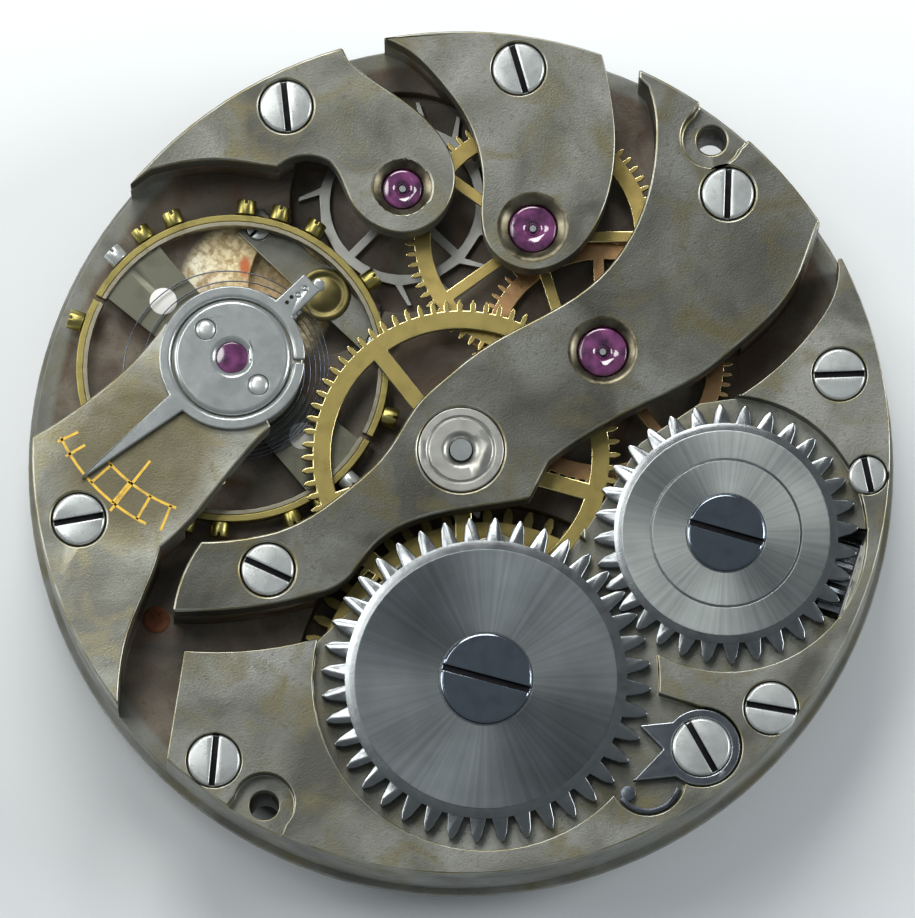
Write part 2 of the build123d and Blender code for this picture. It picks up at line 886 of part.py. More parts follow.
def case_sink(pixel):
    """The hole for a case screw, and the sink that its head needs at the edge."""
    place = spot(pixel)
    low = bridge_top - case_sink_h
    cut = disc(place, case_hole_r, seat_z - over, bridge_top + over)
    cut += disc(place, case_sink_r, low, bridge_top + over)
    outward = polar(place, case_sink_r * case_open_share, bearing(centre, place))
    return cut + disc(outward, case_sink_r, low, bridge_top + over)


def train_bridge():
    """The bridge over the centre and third wheels."""
    shape = bridge("train_bridge")
    shape -= bearing_hole(third, "third")
    shape -= disc(centre, bushing_r + fit, seat_z - over, bridge_top + over)
    shape -= case_sink(case_hole_pixels["train_bridge"])
    return one(shape)


def barrel_bridge():
    """The bridge over the barrel, with the recesses of the winding wheels."""
    shape = bridge("barrel_bridge")
    high = bridge_top + over
    shape -= disc(barrel, ratchet_recess_r, recess_floor_z, high)
    shape -= disc(crown, crown_recess_r, recess_floor_z, high)
    shape -= disc(click, click_ring_r + click_ring_air, recess_floor_z, high)
    shape -= bar(click, barrel, 2 * click_ring_r, recess_floor_z, high)
    spring_room_r = click_spring_in_r + click_spring_w + air
    shape -= disc(click_spring_place, spring_room_r, recess_floor_z, high)
    shape -= disc(barrel, barrel_arbor_r + fit, seat_z - over, high)
    shape -= disc(crown, crown_screw_shank_r + fit, seat_z - over, high)
    shape -= disc(click, click_screw_shank_r + fit, seat_z - over, high)
    shape -= winding_window()
    shape -= disc(setting_screw, setting_screw_r + screw_sink_air, head_low, high)
    shape -= disc(setting_screw, setting_screw_shank_r + fit, seat_z - over, high)
    shape -= case_sink(case_hole_pixels["barrel_bridge"])
    return one(shape)


def winding_window():
    """The opening of the winding pinion and the hollow of the sliding pinion below it."""
    align = (Align.MIN, Align.CENTER, Align.MIN)
    length = winding_to - winding_from + 2 * air
    width = 2 * (winding_tip_r + air)
    window = Box(length, width, recess_floor_z - seat_z + 2 * over, align=align)
    window = Pos(winding_from - air, 0, seat_z - over) * window
    hollow_h = stem_z + sliding_r + air / 2 - seat_z
    hollow = Box(winding_from - keyless_slot_from, 2 * sliding_r, hollow_h + over, align=align)
    return Rot(0, 0, stem_angle) * (window + Pos(keyless_slot_from, 0, seat_z - over) * hollow)


def train_cock(name, place):
    """A cock with one upper jewel."""
    return one(bridge(name + "_cock") - bearing_hole(place, name))


def balance_cock():
    """The cock that carries the balance, the regulator and the hairspring's stud."""
    head = slab(Pos(balance.X, balance.Y) * Circle(cock_head_r), seat_z, bridge_top)
    shape = bridge("balance_cock") + head
    jewel_floor = bridge_top - balance_jewel_t
    shape -= disc(balance, balance_jewel_r + fit, jewel_floor, bridge_top + over)
    shape -= disc(balance, staff_r + air, seat_z - over, jewel_floor + over)
    shape -= stud_body(fit, seat_z - over)
    shape -= stud_screw_rod(stud_screw_r + fit, stud_screw_l + over)
    for place in cap_screw_places():
        shape -= disc(place, cap_screw_shank_r + fit, cap_high - cap_screw_l - fit, bridge_top + over)
    return one(shape)


def bridge_screws():
    """The screws of all the bridges and cocks."""
    screws = []
    for name in bridge_screw_pixels:
        for across, down, angle in bridge_screw_pixels[name]:
            screws.append(screw(spot((across, down)), screw_head_r, head_low,
                                bridge_top + screw_rise, screw_shank_r, screw_l, angle))
    return Compound(children=screws)


# Jewels and bushings

def train_jewels():
    """The hole jewels of the third, fourth and escape arbors, above and below."""
    places = {"third": third, "fourth": fourth, "escape": escape}
    hole_r = pivot_r + fit
    stones = [jewel(places[name], upper_jewel_r[name], jewel_low, jewel_high, hole_r, True)
              for name in places]
    for place, high in ((third, floor_z), (fourth, floor_z), (escape, escape_floor_z)):
        stones.append(jewel(place, lower_jewel_r, high - jewel_t, high, hole_r, False))
    return Compound(children=stones)


def pallet_jewels():
    """The two hole jewels of the pallet arbor."""
    low = pallet_bridge_high - pallet_jewel_t
    hole = pallet_pivot_r + fit
    return Compound(children=[
        ring(pallet, pallet_jewel_r, hole, low, pallet_bridge_high),
        ring(pallet, pallet_jewel_r, hole, escape_floor_z - pallet_jewel_t, escape_floor_z)])


def balance_jewels():
    """The hole jewels of the balance staff and the flat jewels that its ends run on."""
    hole = staff_pivot_r + fit
    low = lower_cap_rise + lower_cap_t
    return Compound(children=[
        ring(balance, balance_jewel_r, hole, bridge_top - balance_jewel_t, bridge_top),
        ring(balance, balance_jewel_r, hole, low, low + balance_jewel_t),
        disc(balance, cap_jewel_r, cap_low, cap_low + cap_jewel_t),
        disc(balance, lower_cap_jewel_r, low - cap_jewel_t, low)])


def centre_bushings():
    """The polished bushing of the train bridge and the one in the main plate."""
    upper = ring(centre, bushing_r, centre_pivot_r + fit, seat_z, bridge_top)
    groove_low = bridge_top - bushing_groove
    upper -= ring(centre, bushing_ring_r + bushing_groove, bushing_ring_r, groove_low,
                  bridge_top + over)
    upper -= taper(centre, centre_pivot_r + fit, bushing_cup_r, bridge_top - bushing_cup_h,
                   bridge_top)
    lower = ring(centre, lower_bushing_r, centre_pivot_r + fit, dial_recess_h, deep_floor_z)
    return Compound(children=[upper, lower])


# The going train

def shaft(place, low, high, pivot_low, pivot_high, radius, end_r):
    """An arbor with its two pivots."""
    return disc(place, radius, low, high) + disc(place, end_r, pivot_low, pivot_high)


centre_phase = third_angle
third_pinion_phase = mesh_phase(third_angle, centre_teeth, centre_phase, third_leaves)
third_phase = fourth_angle
fourth_pinion_phase = mesh_phase(fourth_angle, third_teeth, third_phase, fourth_leaves)
fourth_phase = escape_angle
escape_pinion_phase = mesh_phase(escape_angle, fourth_teeth, fourth_phase, escape_leaves)
barrel_phase = barrel_angle + 180
centre_pinion_phase = mesh_phase(barrel_angle + 180, barrel_teeth, barrel_phase, centre_leaves)


def centre_wheel():
    """The centre wheel, which turns once an hour."""
    face = wheel_face(centre, centre_teeth, centre_module, centre_phase)
    face = crossed(face, centre, centre_rim_r, centre_hub_r, centre_arbor_r, centre_spokes,
                   centre_spoke_w, centre_spoke_angle)
    return one(slab(face, centre_wheel_low, centre_wheel_low + centre_wheel_t))


def centre_pinion():
    """The centre pinion with its arbor, which passes through to the hands."""
    face = pinion_face(centre, centre_leaves, barrel_module, centre_pinion_phase)
    leaves = slab(face, centre_pinion_low, centre_pinion_low + centre_pinion_h)
    low = deep_floor_z + fit
    post_low = dial_recess_h - cannon_length + fit
    arbor = shaft(centre, low, seat_z - fit, post_low, bridge_top - fit, centre_arbor_r,
                  centre_pivot_r)
    return one(leaves + arbor)


def train_wheel(place, teeth, module, phase, low, spokes, first_angle):
    """The third or the fourth wheel."""
    face = wheel_face(place, teeth, module, phase)
    rim_in_r = module * (teeth / 2 - wheel_root_share) - small_rim_w
    face = crossed(face, place, rim_in_r, small_hub_r, arbor_r, spokes, small_spoke_w,
                   first_angle)
    return one(slab(face, low, low + train_wheel_t))


def train_pinion(place, leaves, module, phase, low, floor):
    """A pinion of the train with its arbor and pivots."""
    body = slab(pinion_face(place, leaves, module, phase), low, low + pinion_h)
    body += shaft(place, floor + fit, jewel_low - fit, floor - jewel_t, jewel_high - fit,
                  arbor_r, pivot_r)
    return one(body)


def escape_wheel():
    """The escape wheel with its leaning club teeth."""
    pitch = 360 / escape_teeth
    points = []
    for tooth in range(escape_teeth):
        start = lever_angle + tooth * pitch - escape_lean_angle
        points += [
            polar(escape, escape_root_r, start - escape_tooth_angle / 2),
            polar(escape, escape_tip_r, start + escape_lean_angle - escape_tip_angle / 2),
            polar(escape, escape_tip_r, start + escape_lean_angle + escape_tip_angle / 2),
            polar(escape, escape_root_r, start + escape_tooth_angle / 2),
        ]
    face = make_face(Polyline(*points, close=True))
    face = crossed(face, escape, escape_rim_r, small_hub_r, arbor_r, escape_spokes,
                   escape_spoke_w, lever_angle)
    return one(slab(face, escape_wheel_low, escape_wheel_low + escape_wheel_t))


# The lever escapement, in a frame that runs from the pallet axis to the balance

lever_frame = Pos(pallet.X, pallet.Y) * Rot(0, 0, lever_angle)
stone_angle = 30.0
fork_base = pallet_balance_distance - impulse_orbit_r - impulse_r - 2 * fit


def pallet_stone_faces():
    """The two pallet stones, whose ends stand just clear of the wheel's teeth."""
    start = escape_tip_r + escape_lock_gap
    stones = []
    for turn in (stone_angle, -stone_angle):
        stone = Pos(start + stone_l / 2, 0) * Rectangle(stone_l, stone_w)
        stones.append(lever_frame * Pos(-escape_pallet_distance, 0) * Rot(0, 0, turn) * stone)
    return stones


def pallet_stones():
    """The two pallet stones as solids."""
    return Compound(children=[slab(face, fork_low, fork_low + fork_t)
                              for face in pallet_stone_faces()])


def pallet_fork():
    """The lever with its arms, its horns and the slot for the impulse jewel."""
    lever = Pos(fork_base / 2, 0) * Rectangle(fork_base, fork_lever_w)
    head_w = fork_slot_w + 2 * fork_horn_w
    head_l = fork_horn_w + fork_horn_l
    lever += Pos(fork_base - fork_horn_w + head_l / 2, 0) * Rectangle(head_l, head_w)
    lever -= Pos(fork_base + fork_horn_l, 0) * Rectangle(2 * fork_horn_l, fork_slot_w)
    lever += Circle(pallet_arm_w)
    escape_side = Vector(-escape_pallet_distance, 0)
    for turn in (stone_angle, -stone_angle):
        tip = polar(escape_side, escape_tip_r * pallet_arm_share, turn)
        reach = hypot(tip.X, tip.Y)
        arm = Pos(reach / 2, 0) * Rectangle(reach, pallet_arm_w)
        lever += Rot(0, 0, bearing(centre, tip)) * arm
        lever += Pos(tip.X, tip.Y) * Circle(pallet_arm_w / 2)
    face = lever_frame * lever
    for stone in pallet_stone_faces():
        face -= stone
    face -= Pos(pallet.X, pallet.Y) * Circle(pallet_arbor_r)
    pin_reach = pallet_balance_distance - roller_r - air - guard_pin_r
    pin_place = polar(pallet, pin_reach, lever_angle)
    face -= Pos(pin_place.X, pin_place.Y) * Circle(guard_pin_r)
    lever = slab(face, fork_low, fork_low + fork_t)
    guard_pin = disc(pin_place, guard_pin_r, fork_low, roller_low + roller_t)
    return Compound(children=[*lever.solids(), guard_pin])


def pallet_arbor():
    """The arbor of the pallets."""
    return one(shaft(pallet, escape_floor_z + fit, pallet_bridge_high - pallet_jewel_t - fit,
                     escape_floor_z - pallet_jewel_t + fit, pallet_bridge_high - fit,
                     pallet_arbor_r, pallet_pivot_r))


def pallet_screw_places():
    """Where the pallet bridge is screwed down."""
    return [polar(pallet, pallet_screw_reach, lever_angle + turn) for turn in (90, -90)]


def pallet_bridge():
    """The low bridge over the pallets."""
    ends = [polar(pallet, pallet_bridge_reach, lever_angle + turn) for turn in (90, -90)]
    shape = bar(ends[0], ends[1], pallet_bridge_w, pallet_bridge_low, pallet_bridge_high)
    shape += disc(pallet, pallet_boss_r, pallet_bridge_low, pallet_bridge_high)
    shape -= disc(pallet, pallet_jewel_r + fit, pallet_bridge_low - over, pallet_bridge_high + over)
    for place in pallet_screw_places():
        shape -= disc(place, small_screw_r + fit, pallet_bridge_high - small_screw_t,
                      pallet_bridge_high + over)
        shape -= disc(place, small_screw_shank_r + fit, pallet_bridge_low - over,
                      pallet_bridge_high)
    return one(shape)


def small_screw(place, high, slot_angle):
    """A small screw whose head ends at a height."""
    body = slotted_head(place, small_screw_r, high - small_screw_t, high, slot_angle,
                        small_slot_w, small_slot_h, small_bevel)
    return body + disc(place, small_screw_shank_r, high - small_screw_t - small_screw_l,
                       high - small_screw_t)


def small_screws():
    """The small screws: the pallet bridge's, the lower cap's and the cover plate's."""
    screws = [small_screw(place, pallet_bridge_high, lever_angle)
              for place in pallet_screw_places()]
    screws += [lower_cap_screw(place) for place in lower_cap_screw_places()]
    screws += [cover_screw(place) for place in cover_screw_places()]
    return Compound(children=screws)


# The balance

def balance_arm_face():
    """The flat arm, which widens towards the rim at both ends."""
    reach = balance_steel_out_r
    half = [(0, balance_arm_mid_w / 2), (reach, balance_arm_end_w / 2)]
    points = [(reach, half[1][1]), (0, half[0][1]), (-reach, half[1][1]),
              (-reach, -half[1][1]), (0, -half[0][1]), (reach, -half[1][1])]
    face = make_face(Polyline(*points, close=True)) + Circle(balance_hub_r)
    face &= Circle((balance_steel_in_r + balance_steel_out_r) / 2)
    return Pos(balance.X, balance.Y) * Rot(0, 0, balance_arm_angle) * face


def balance_cuts():
    """The two slits that cut the rim beside the arm."""
    cuts = []
    for turn in (0, 180):
        slit = Box(2 * balance_brass_out_r, balance_cut_w, 2 * balance_rim_h,
                   align=(Align.MIN, Align.CENTER, Align.CENTER))
        spin = Rot(0, 0, balance_arm_angle + balance_cut_angle + turn)
        cuts.append(Pos(balance.X, balance.Y, balance_rim_low + balance_rim_h / 2) * spin * slit)
    return cuts


def rim_screw_frames():
    """The frames of the rim's brass screws, each with X pointing outward."""
    at = Pos(balance.X, balance.Y, balance_screw_z)
    return [at * Rot(0, 0, balance_arm_angle - angle + turn) * Rot(0, 90, 0)
            for turn in (0, 180) for angle in balance_screw_angles]


def timing_screw_frames():
    """The frames of the two steel screws at the ends of the arm."""
    at = Pos(balance.X, balance.Y, balance_screw_z)
    return [at * Rot(0, 0, balance_arm_angle + turn) * Rot(0, 90, 0) for turn in (0, 180)]


def rim_rod(radius, start, end):
    """A rod that runs outward along a rim screw's own frame."""
    return Pos(0, 0, start) * Cylinder(
        radius, end - start, align=(Align.CENTER, Align.CENTER, Align.MIN))


def rim_screws(frames):
    """Rim screws with slotted heads outside the rim and necks in it."""
    screws = []
    low = balance_brass_out_r + fit
    for frame in frames:
        body = rim_rod(balance_screw_r, low, balance_screw_out_r)
        body -= Pos(0, 0, balance_screw_out_r) * Box(
            2 * (balance_screw_r + over), balance_screw_slot_w, 2 * balance_screw_slot_h)
        body += rim_rod(balance_screw_neck_r, balance_steel_in_r, low)
        screws.append(frame * body)
    return Compound(children=screws)


def rim_ring(outer, inner):
    """One metal of the rim, with its slits and screw holes."""
    shape = ring(balance, outer, inner, balance_rim_low, balance_rim_low + balance_rim_h)
    for frame in rim_screw_frames() + timing_screw_frames():
        shape -= frame * rim_rod(balance_screw_neck_r, balance_steel_in_r - over,
                                 balance_brass_out_r + over)
    return shape


def balance_wheel():
    """The steel arm with the inner metal of the rim."""
    shape = rim_ring(balance_steel_out_r, balance_steel_in_r)
    for cut in balance_cuts():
        shape -= cut
    high = balance_arm_low + balance_arm_t
    arm = slab(balance_arm_face(), balance_arm_low, high)
    arm -= disc(balance, staff_r, balance_arm_low - over, high + over)
    for turn in (0, 180):
        stud = polar(balance, arm_stud_reach, balance_arm_angle + turn)
        arm += disc(stud, arm_stud_r, high - air, high + arm_stud_h)
    for frame in rim_screw_frames() + timing_screw_frames():
        arm -= frame * rim_rod(balance_screw_neck_r, balance_steel_in_r, balance_brass_out_r)
    return one(shape + arm)


def balance_rim():
    """The outer metal of the rim, cut into two halves."""
    shape = rim_ring(balance_brass_out_r, balance_steel_out_r)
    for cut in balance_cuts():
        shape -= cut
    return one(shape)


def balance_staff():
    """The staff on which the balance turns."""
    shoulder_low = staff_low + balance_jewel_t + staff_cone_h
    shoulder_high = bridge_top - balance_jewel_t - staff_cone_h
    body = shaft(balance, shoulder_low, shoulder_high, staff_low, staff_high, staff_r,
                 staff_pivot_r)
    return one(body + disc(balance, staff_flange_r, balance_arm_low - staff_flange_t,
                           balance_arm_low))


impulse = polar(balance, impulse_orbit_r, lever_angle + 180)


def roller():
    """The roller disc, with its crescent and the hole of the impulse jewel."""
    low, high = roller_low, roller_low + roller_t
    shape = ring(balance, roller_r, staff_r, low, high)
    shape -= disc(impulse, impulse_r, low - over, high + over)
    notch = polar(balance, roller_r + crescent_rise, lever_angle + 180)
    return one(shape - disc(notch, crescent_r, low - over, high + over))


def impulse_jewel():
    """The jewel pin that the lever strikes."""
    return disc(impulse, impulse_r, fork_low, roller_low + roller_t)


# The hairspring and what holds it

def spring_frame_point(along, aside):
    """A point in the hairspring's frame, whose X axis points at the stud."""
    start = polar(balance, along, stud_angle)
    point = polar(start, aside, stud_angle + 90)
    return Vector(point.X, point.Y, spring_z)


def hairspring_path():
    """The hairspring's line: out of the collet, half turns of growing radius, into the stud."""
    bend = spring_wire_d * spring_bend_share
    start_r = spring_start_r
    frame = Pos(balance.X, balance.Y, spring_z) * Rot(0, 0, stud_angle)
    edges = [Line(spring_frame_point(collet_flat_r, -bend),
                  spring_frame_point(start_r - bend, -bend))]
    edges.append(frame * CenterArc((start_r - bend, 0), bend, -90, 90))
    for turn in range(spring_half_turns):
        shift = spring_pitch / 2 if turn % 2 else 0
        radius = start_r + turn * spring_pitch / 2
        edges.append(frame * CenterArc((shift, 0), radius, 180 * (turn % 2), 180))
    end_r = start_r + spring_half_turns * spring_pitch / 2
    edges.append(Line(spring_frame_point(end_r, 0), spring_frame_point(end_r, spring_wire_d)))
    return Wire(edges)


def hairspring():
    """The hairspring, one unbroken wire."""
    path = hairspring_path()
    start = path @ 0
    section = Plane(origin=start, z_dir=path % 0) * Circle(spring_wire_d / 2)
    return one(sweep(section, path=path))


def least_spring_gap():
    """The least gap of the hairspring to itself, measured on points of its turns."""
    points = []
    for turn in range(spring_half_turns):
        shift = spring_pitch / 2 if turn % 2 else 0
        radius = spring_start_r + turn * spring_pitch / 2
        for step in range(spring_test_steps):
            angle = radians(180 * (turn % 2 + step / spring_test_steps))
            points.append((turn, shift + radius * cos(angle), radius * sin(angle)))
    gaps = [hypot(x - across, y - up) for turn, x, y in points
            for other, across, up in points if other > turn + 1]
    return min(gaps) - spring_wire_d


def hairspring_collet():
    """The collet on the staff, with a flat block for the spring's end."""
    low = spring_z - collet_t / 2
    shape = disc(balance, collet_r, low, low + collet_t)
    bend = spring_wire_d * spring_bend_share
    middle = polar(balance, bend, stud_angle - 90)
    end = polar(middle, collet_flat_r, stud_angle)
    shape += bar(middle, end, collet_block_w, low, low + collet_t)
    return one(shape - disc(balance, staff_r, low - over, low + collet_t + over))


def stud_place():
    """The middle of the hairspring stud, past the end of the last turn."""
    end_r = spring_start_r + spring_half_turns * spring_pitch / 2
    end = polar(balance, end_r, stud_angle)
    return polar(end, spring_wire_d + stud_side / 2, stud_angle + 90)


def stud_body(clearance, low):
    """The square stud, or the hole for it with a clearance."""
    side = stud_side + 2 * clearance
    place = stud_place()
    shape = Box(side, side, seat_z + stud_depth + clearance - low,
                align=(Align.CENTER, Align.CENTER, Align.MIN))
    return Pos(place.X, place.Y, low) * Rot(0, 0, stud_angle) * shape


def stud_screw_rod(radius, length):
    """A rod from the stud's side to the cock's edge."""
    place = stud_place()
    rod = Cylinder(radius, length, align=(Align.CENTER, Align.CENTER, Align.MIN))
    frame = Pos(place.X, place.Y, seat_z + stud_depth / 2) * Rot(0, 0, stud_screw_angle)
    return frame * Rot(0, 90, 0) * Pos(0, 0, stud_side / 2 + stud_screw_gap) * rod


# The regulator and the cap on the balance cock

spring_pin_r = spring_start_r + spring_curb_half_turn * spring_pitch / 2
curb_offset = spring_wire_d / 2 + curb_pin_r + fit


def regulator():
    """The split ring with its pointer and its tail."""
    here = Pos(balance.X, balance.Y)
    face = here * Circle(regulator_out_r) - here * Circle(regulator_in_r)
    slit = Pos(regulator_out_r, 0) * Rectangle(2 * regulator_out_r, regulator_gap_w)
    face -= here * Rot(0, 0, regulator_gap_angle) * slit
    middle_r = (regulator_in_r + regulator_out_r) / 2
    tip = polar(balance, pointer_reach, pointer_angle)
    side = pointer_angle + 90
    points = [polar(balance, middle_r, pointer_angle - pointer_root_angle / 2),
              polar(tip, -pointer_tip_w / 2, side), polar(tip, pointer_tip_w / 2, side),
              polar(balance, middle_r, pointer_angle + pointer_root_angle / 2)]
    face += make_face(Polyline(*points, close=True))
    tail_l = tail_reach - middle_r
    tail = Pos(middle_r + tail_l / 2, 0) * Rectangle(tail_l, tail_w)
    for reach in (spring_pin_r - curb_offset, spring_pin_r + curb_offset):
        tail -= Pos(reach, 0) * Circle(curb_pin_r)
    face += here * Rot(0, 0, tail_angle) * tail
    face -= here * Circle(regulator_in_r)
    plate = slab(face, regulator_low, regulator_high)
    pins = [disc(polar(balance, reach, tail_angle), curb_pin_r, spring_z - curb_drop,
                 regulator_high)
            for reach in (spring_pin_r - curb_offset, spring_pin_r + curb_offset)]
    return Compound(children=[*plate.solids(), *pins])


def cap_screw_places():
    """Where the cap's two screws lie."""
    return [polar(balance, cap_screw_reach, cap_screw_angle + turn) for turn in (0, 180)]


def endstone_cap():
    """The polished cap that holds the upper cap jewel."""
    shape = disc(balance, regulator_in_r - 2 * fit, cap_low, cap_high)
    shape -= disc(balance, cap_dish_r, cap_high - cap_dish_h, cap_high + over)
    shape -= disc(balance, cap_jewel_r, cap_low - over, cap_low + cap_jewel_t)
    shape -= taper(balance, cap_jewel_r, cap_sink_r, cap_low + cap_jewel_t, cap_high)
    for place in cap_screw_places():
        shape -= disc(place, cap_screw_r + fit, cap_high - cap_screw_sink, cap_high + over)
        shape -= disc(place, cap_screw_shank_r + fit, cap_low - over, cap_high)
    return one(shape)


def cock_screws():
    """The two small screws of the cap and the one that clamps the stud."""
    low = cap_high - cap_screw_sink
    screws = []
    for place in cap_screw_places():
        body = slotted_head(place, cap_screw_r, low, cap_high + cap_screw_rise, cap_screw_angle,
                            small_slot_w, small_slot_h, small_bevel)
        screws.append(body + disc(place, cap_screw_shank_r, cap_high - cap_screw_l, low))
    screws.append(stud_screw_rod(stud_screw_r, stud_screw_l))
    return Compound(children=screws)


def lower_endstone_cap():
    """The cap that holds the lower cap jewel, on the dial side."""
    low, high = lower_cap_rise, lower_cap_rise + lower_cap_t
    shape = disc(balance, lower_cap_r, low, high)
    shape -= disc(balance, lower_cap_jewel_r, high - cap_jewel_t, high + over)
    for place in lower_cap_screw_places():
        shape -= disc(place, lower_cap_screw_r + fit, low - over, low + lower_cap_sink)
        shape -= disc(place, small_screw_shank_r + fit, low, high + over)
    return one(shape)


def lower_cap_screw(place):
    """A screw of the lower cap, with its head on the dial side."""
    head_high = lower_cap_rise + lower_cap_sink
    body = disc(place, lower_cap_screw_r, lower_cap_rise, head_high)
    slot = Box(2 * (lower_cap_screw_r + over), small_slot_w, lower_cap_sink)
    body -= Pos(place.X, place.Y, lower_cap_rise) * Rot(0, 0, lever_angle) * slot
    shank_high = lower_cap_rise + small_screw_t + small_screw_l
    return body + disc(place, small_screw_shank_r, head_high, shank_high)


# The barrel

barrel_low = centre_pinion_low
barrel_high = barrel_low + barrel_h


def barrel_drum():
    """The toothed drum that holds the mainspring."""
    teeth = slab(wheel_face(barrel, barrel_teeth, barrel_module, barrel_phase), barrel_low,
                 barrel_low + barrel_tooth_h)
    shape = teeth + disc(barrel, barrel_drum_r, barrel_low, barrel_high)
    shape -= disc(barrel, barrel_drum_r - barrel_wall, barrel_low + barrel_floor_t,
                  barrel_high + over)
    return one(shape - disc(barrel, barrel_arbor_r + fit, barrel_low - over, barrel_high))


def barrel_cover():
    """The lid that snaps into the drum."""
    return one(ring(barrel, barrel_drum_r - barrel_wall, barrel_arbor_r + fit,
                    barrel_high - barrel_cover_t, barrel_high))


def barrel_arbor():
    """The barrel's arbor, with the square for the ratchet wheel."""
    core_low = barrel_low + barrel_floor_t + fit
    core_high = barrel_high - barrel_cover_t - fit
    shape = disc(barrel, barrel_lower_pivot_r, barrel_pivot_low, barrel_low)
    shape += disc(barrel, barrel_arbor_r, deep_floor_z + fit, ratchet_low - fit)
    shape += disc(barrel, barrel_core_r, core_low, core_high)
    square = Box(square_side, square_side, ratchet_t - ratchet_screw_sink,
                 align=(Align.CENTER, Align.CENTER, Align.MIN))
    shape += Pos(barrel.X, barrel.Y, ratchet_low - fit) * square
    return one(shape - disc(barrel, ratchet_screw_shank_r + fit,
                            ratchet_screw_low - ratchet_screw_l - fit, bridge_top + over))


def mainspring():
    """The coiled mainspring, as the space that it fills in the drum."""
    return one(ring(barrel, barrel_drum_r - barrel_wall - fit, mainspring_in_r,
                    barrel_low + barrel_floor_t + fit, barrel_high - barrel_cover_t - fit))


# The winding wheels

ratchet_high = ratchet_low + ratchet_t
ratchet_screw_low = ratchet_high - ratchet_screw_sink
crown_high = ratchet_low + crown_t
ratchet_phase = click_tip_angle + 180 / ratchet_teeth
crown_phase = mesh_phase(crown_angle, ratchet_teeth, ratchet_phase, crown_teeth)


def winding_wheel(place, teeth, root_r, tip_r, phase, low, high):
    """A flat winding wheel with pointed teeth."""
    pitch_r = winding_module * teeth / 2
    face = toothed(place, teeth, root_r, pitch_r, tip_r, phase, winding_width_share,
                   winding_crest_share, winding_root_share)
    return slab(face, low, high)


def ratchet_wheel():
    """The ratchet wheel on the barrel arbor's square."""
    shape = winding_wheel(barrel, ratchet_teeth, ratchet_root_r, ratchet_tip_r, ratchet_phase,
                          ratchet_low, ratchet_high - ratchet_bevel)
    shape += taper(barrel, ratchet_root_r, ratchet_root_r - ratchet_bevel,
                   ratchet_high - ratchet_bevel, ratchet_high)
    side = square_side + 2 * fit
    hole = Box(side, side, 2 * bridge_t)
    shape -= Pos(barrel.X, barrel.Y, ratchet_low) * hole
    return one(shape - disc(barrel, ratchet_screw_r + fit, ratchet_screw_low, ratchet_high + over))


def ratchet_screw():
    """The broad screw that holds the ratchet wheel."""
    return one(screw(barrel, ratchet_screw_r, ratchet_screw_low,
                     ratchet_screw_low + ratchet_screw_t, ratchet_screw_shank_r,
                     ratchet_screw_l, ratchet_slot_angle))


def crown_wheel():
    """The crown wheel, which turns round its core."""
    shape = winding_wheel(crown, crown_teeth, crown_root_r, crown_tip_r, crown_phase,
                          ratchet_low, crown_high - ratchet_bevel)
    shape += taper(crown, crown_root_r, crown_root_r - ratchet_bevel,
                   crown_high - ratchet_bevel, crown_high)
    shape -= disc(crown, crown_bore_r, ratchet_low - over, crown_high + over)
    return one(shape - disc(crown, crown_groove_r, crown_high - crown_flange_t, crown_high + over))


def crown_wheel_core():
    """The flanged core that the crown wheel turns round."""
    flange_low = crown_high - crown_flange_t + fit
    shape = disc(crown, crown_bore_r - 2 * fit, recess_floor_z, flange_low)
    shape += disc(crown, crown_groove_r - 2 * fit, flange_low, crown_high)
    shape -= disc(crown, crown_screw_r + fit, crown_high - crown_screw_sink, crown_high + over)
    return one(shape - disc(crown, crown_screw_shank_r + fit, recess_floor_z - over, crown_high))


def winding_screws():
    """The screw of the crown wheel's core and the screw that the click turns on."""
    low = crown_high - crown_screw_sink
    crown_screw = screw(crown, crown_screw_r, low, low + crown_screw_t, crown_screw_shank_r,
                        crown_screw_l, crown_slot_angle)
    click_screw = screw(click, click_screw_r, recess_floor_z, recess_floor_z + click_screw_h,
                        click_screw_shank_r, click_screw_l, click_slot_angle)
    return Compound(children=[crown_screw, click_screw])


click_tip = polar(barrel, ratchet_tip_r - click_lock, click_tip_angle)
click_heel = polar(barrel, ratchet_tip_r + click_heel_gap, click_heel_tip_angle)
click_low = ratchet_low
click_high = click_low + click_t


def prong(root_angle, tip):
    """One pointed prong of the click."""
    side = root_angle + 90
    root = polar(click, click_ring_r * click_root_share, root_angle)
    points = [polar(root, click_prong_w, side), tip, polar(root, -click_prong_w, side)]
    return make_face(Polyline(*points, close=True))


def click_piece():
    """The click, whose beak holds the ratchet wheel."""
    here = Pos(click.X, click.Y)
    face = here * Circle(click_ring_r)
    face += prong(bearing(click, click_tip), click_tip)
    face += prong(bearing(click, click_heel), click_heel)
    face -= here * Circle(click_screw_r + fit)
    return one(slab(face, click_low, click_high))


def click_spring():
    """The bent spring beside the click, with its foot."""
    outer = click_spring_in_r + click_spring_w
    strip = band(click_spring_place, click_spring_in_r, outer, click_spring_from,
                 click_spring_sweep)
    middle_r = click_spring_in_r + click_spring_w / 2
    foot = polar(click_spring_place, middle_r - click_spring_foot_r, click_spring_from)
    high = recess_floor_z + click_spring_t
    return one(slab(strip, recess_floor_z, high)
               + disc(foot, click_spring_foot_r, recess_floor_z, high))


# The keyless work

def stem_toothed(teeth, root_r, tip_r, start, end, first):
    """A toothed wheel round the stem axis."""
    middle_r = (root_r + tip_r) / 2
    face = toothed(centre, teeth, root_r, middle_r, tip_r, first, winding_width_share,
                   pinion_crest_share)
    solid = extrude(face, amount=end - start)
    return Pos(0, 0, stem_z) * Rot(0, 0, stem_angle) * Rot(0, 90, 0) * Pos(0, 0, start) * solid


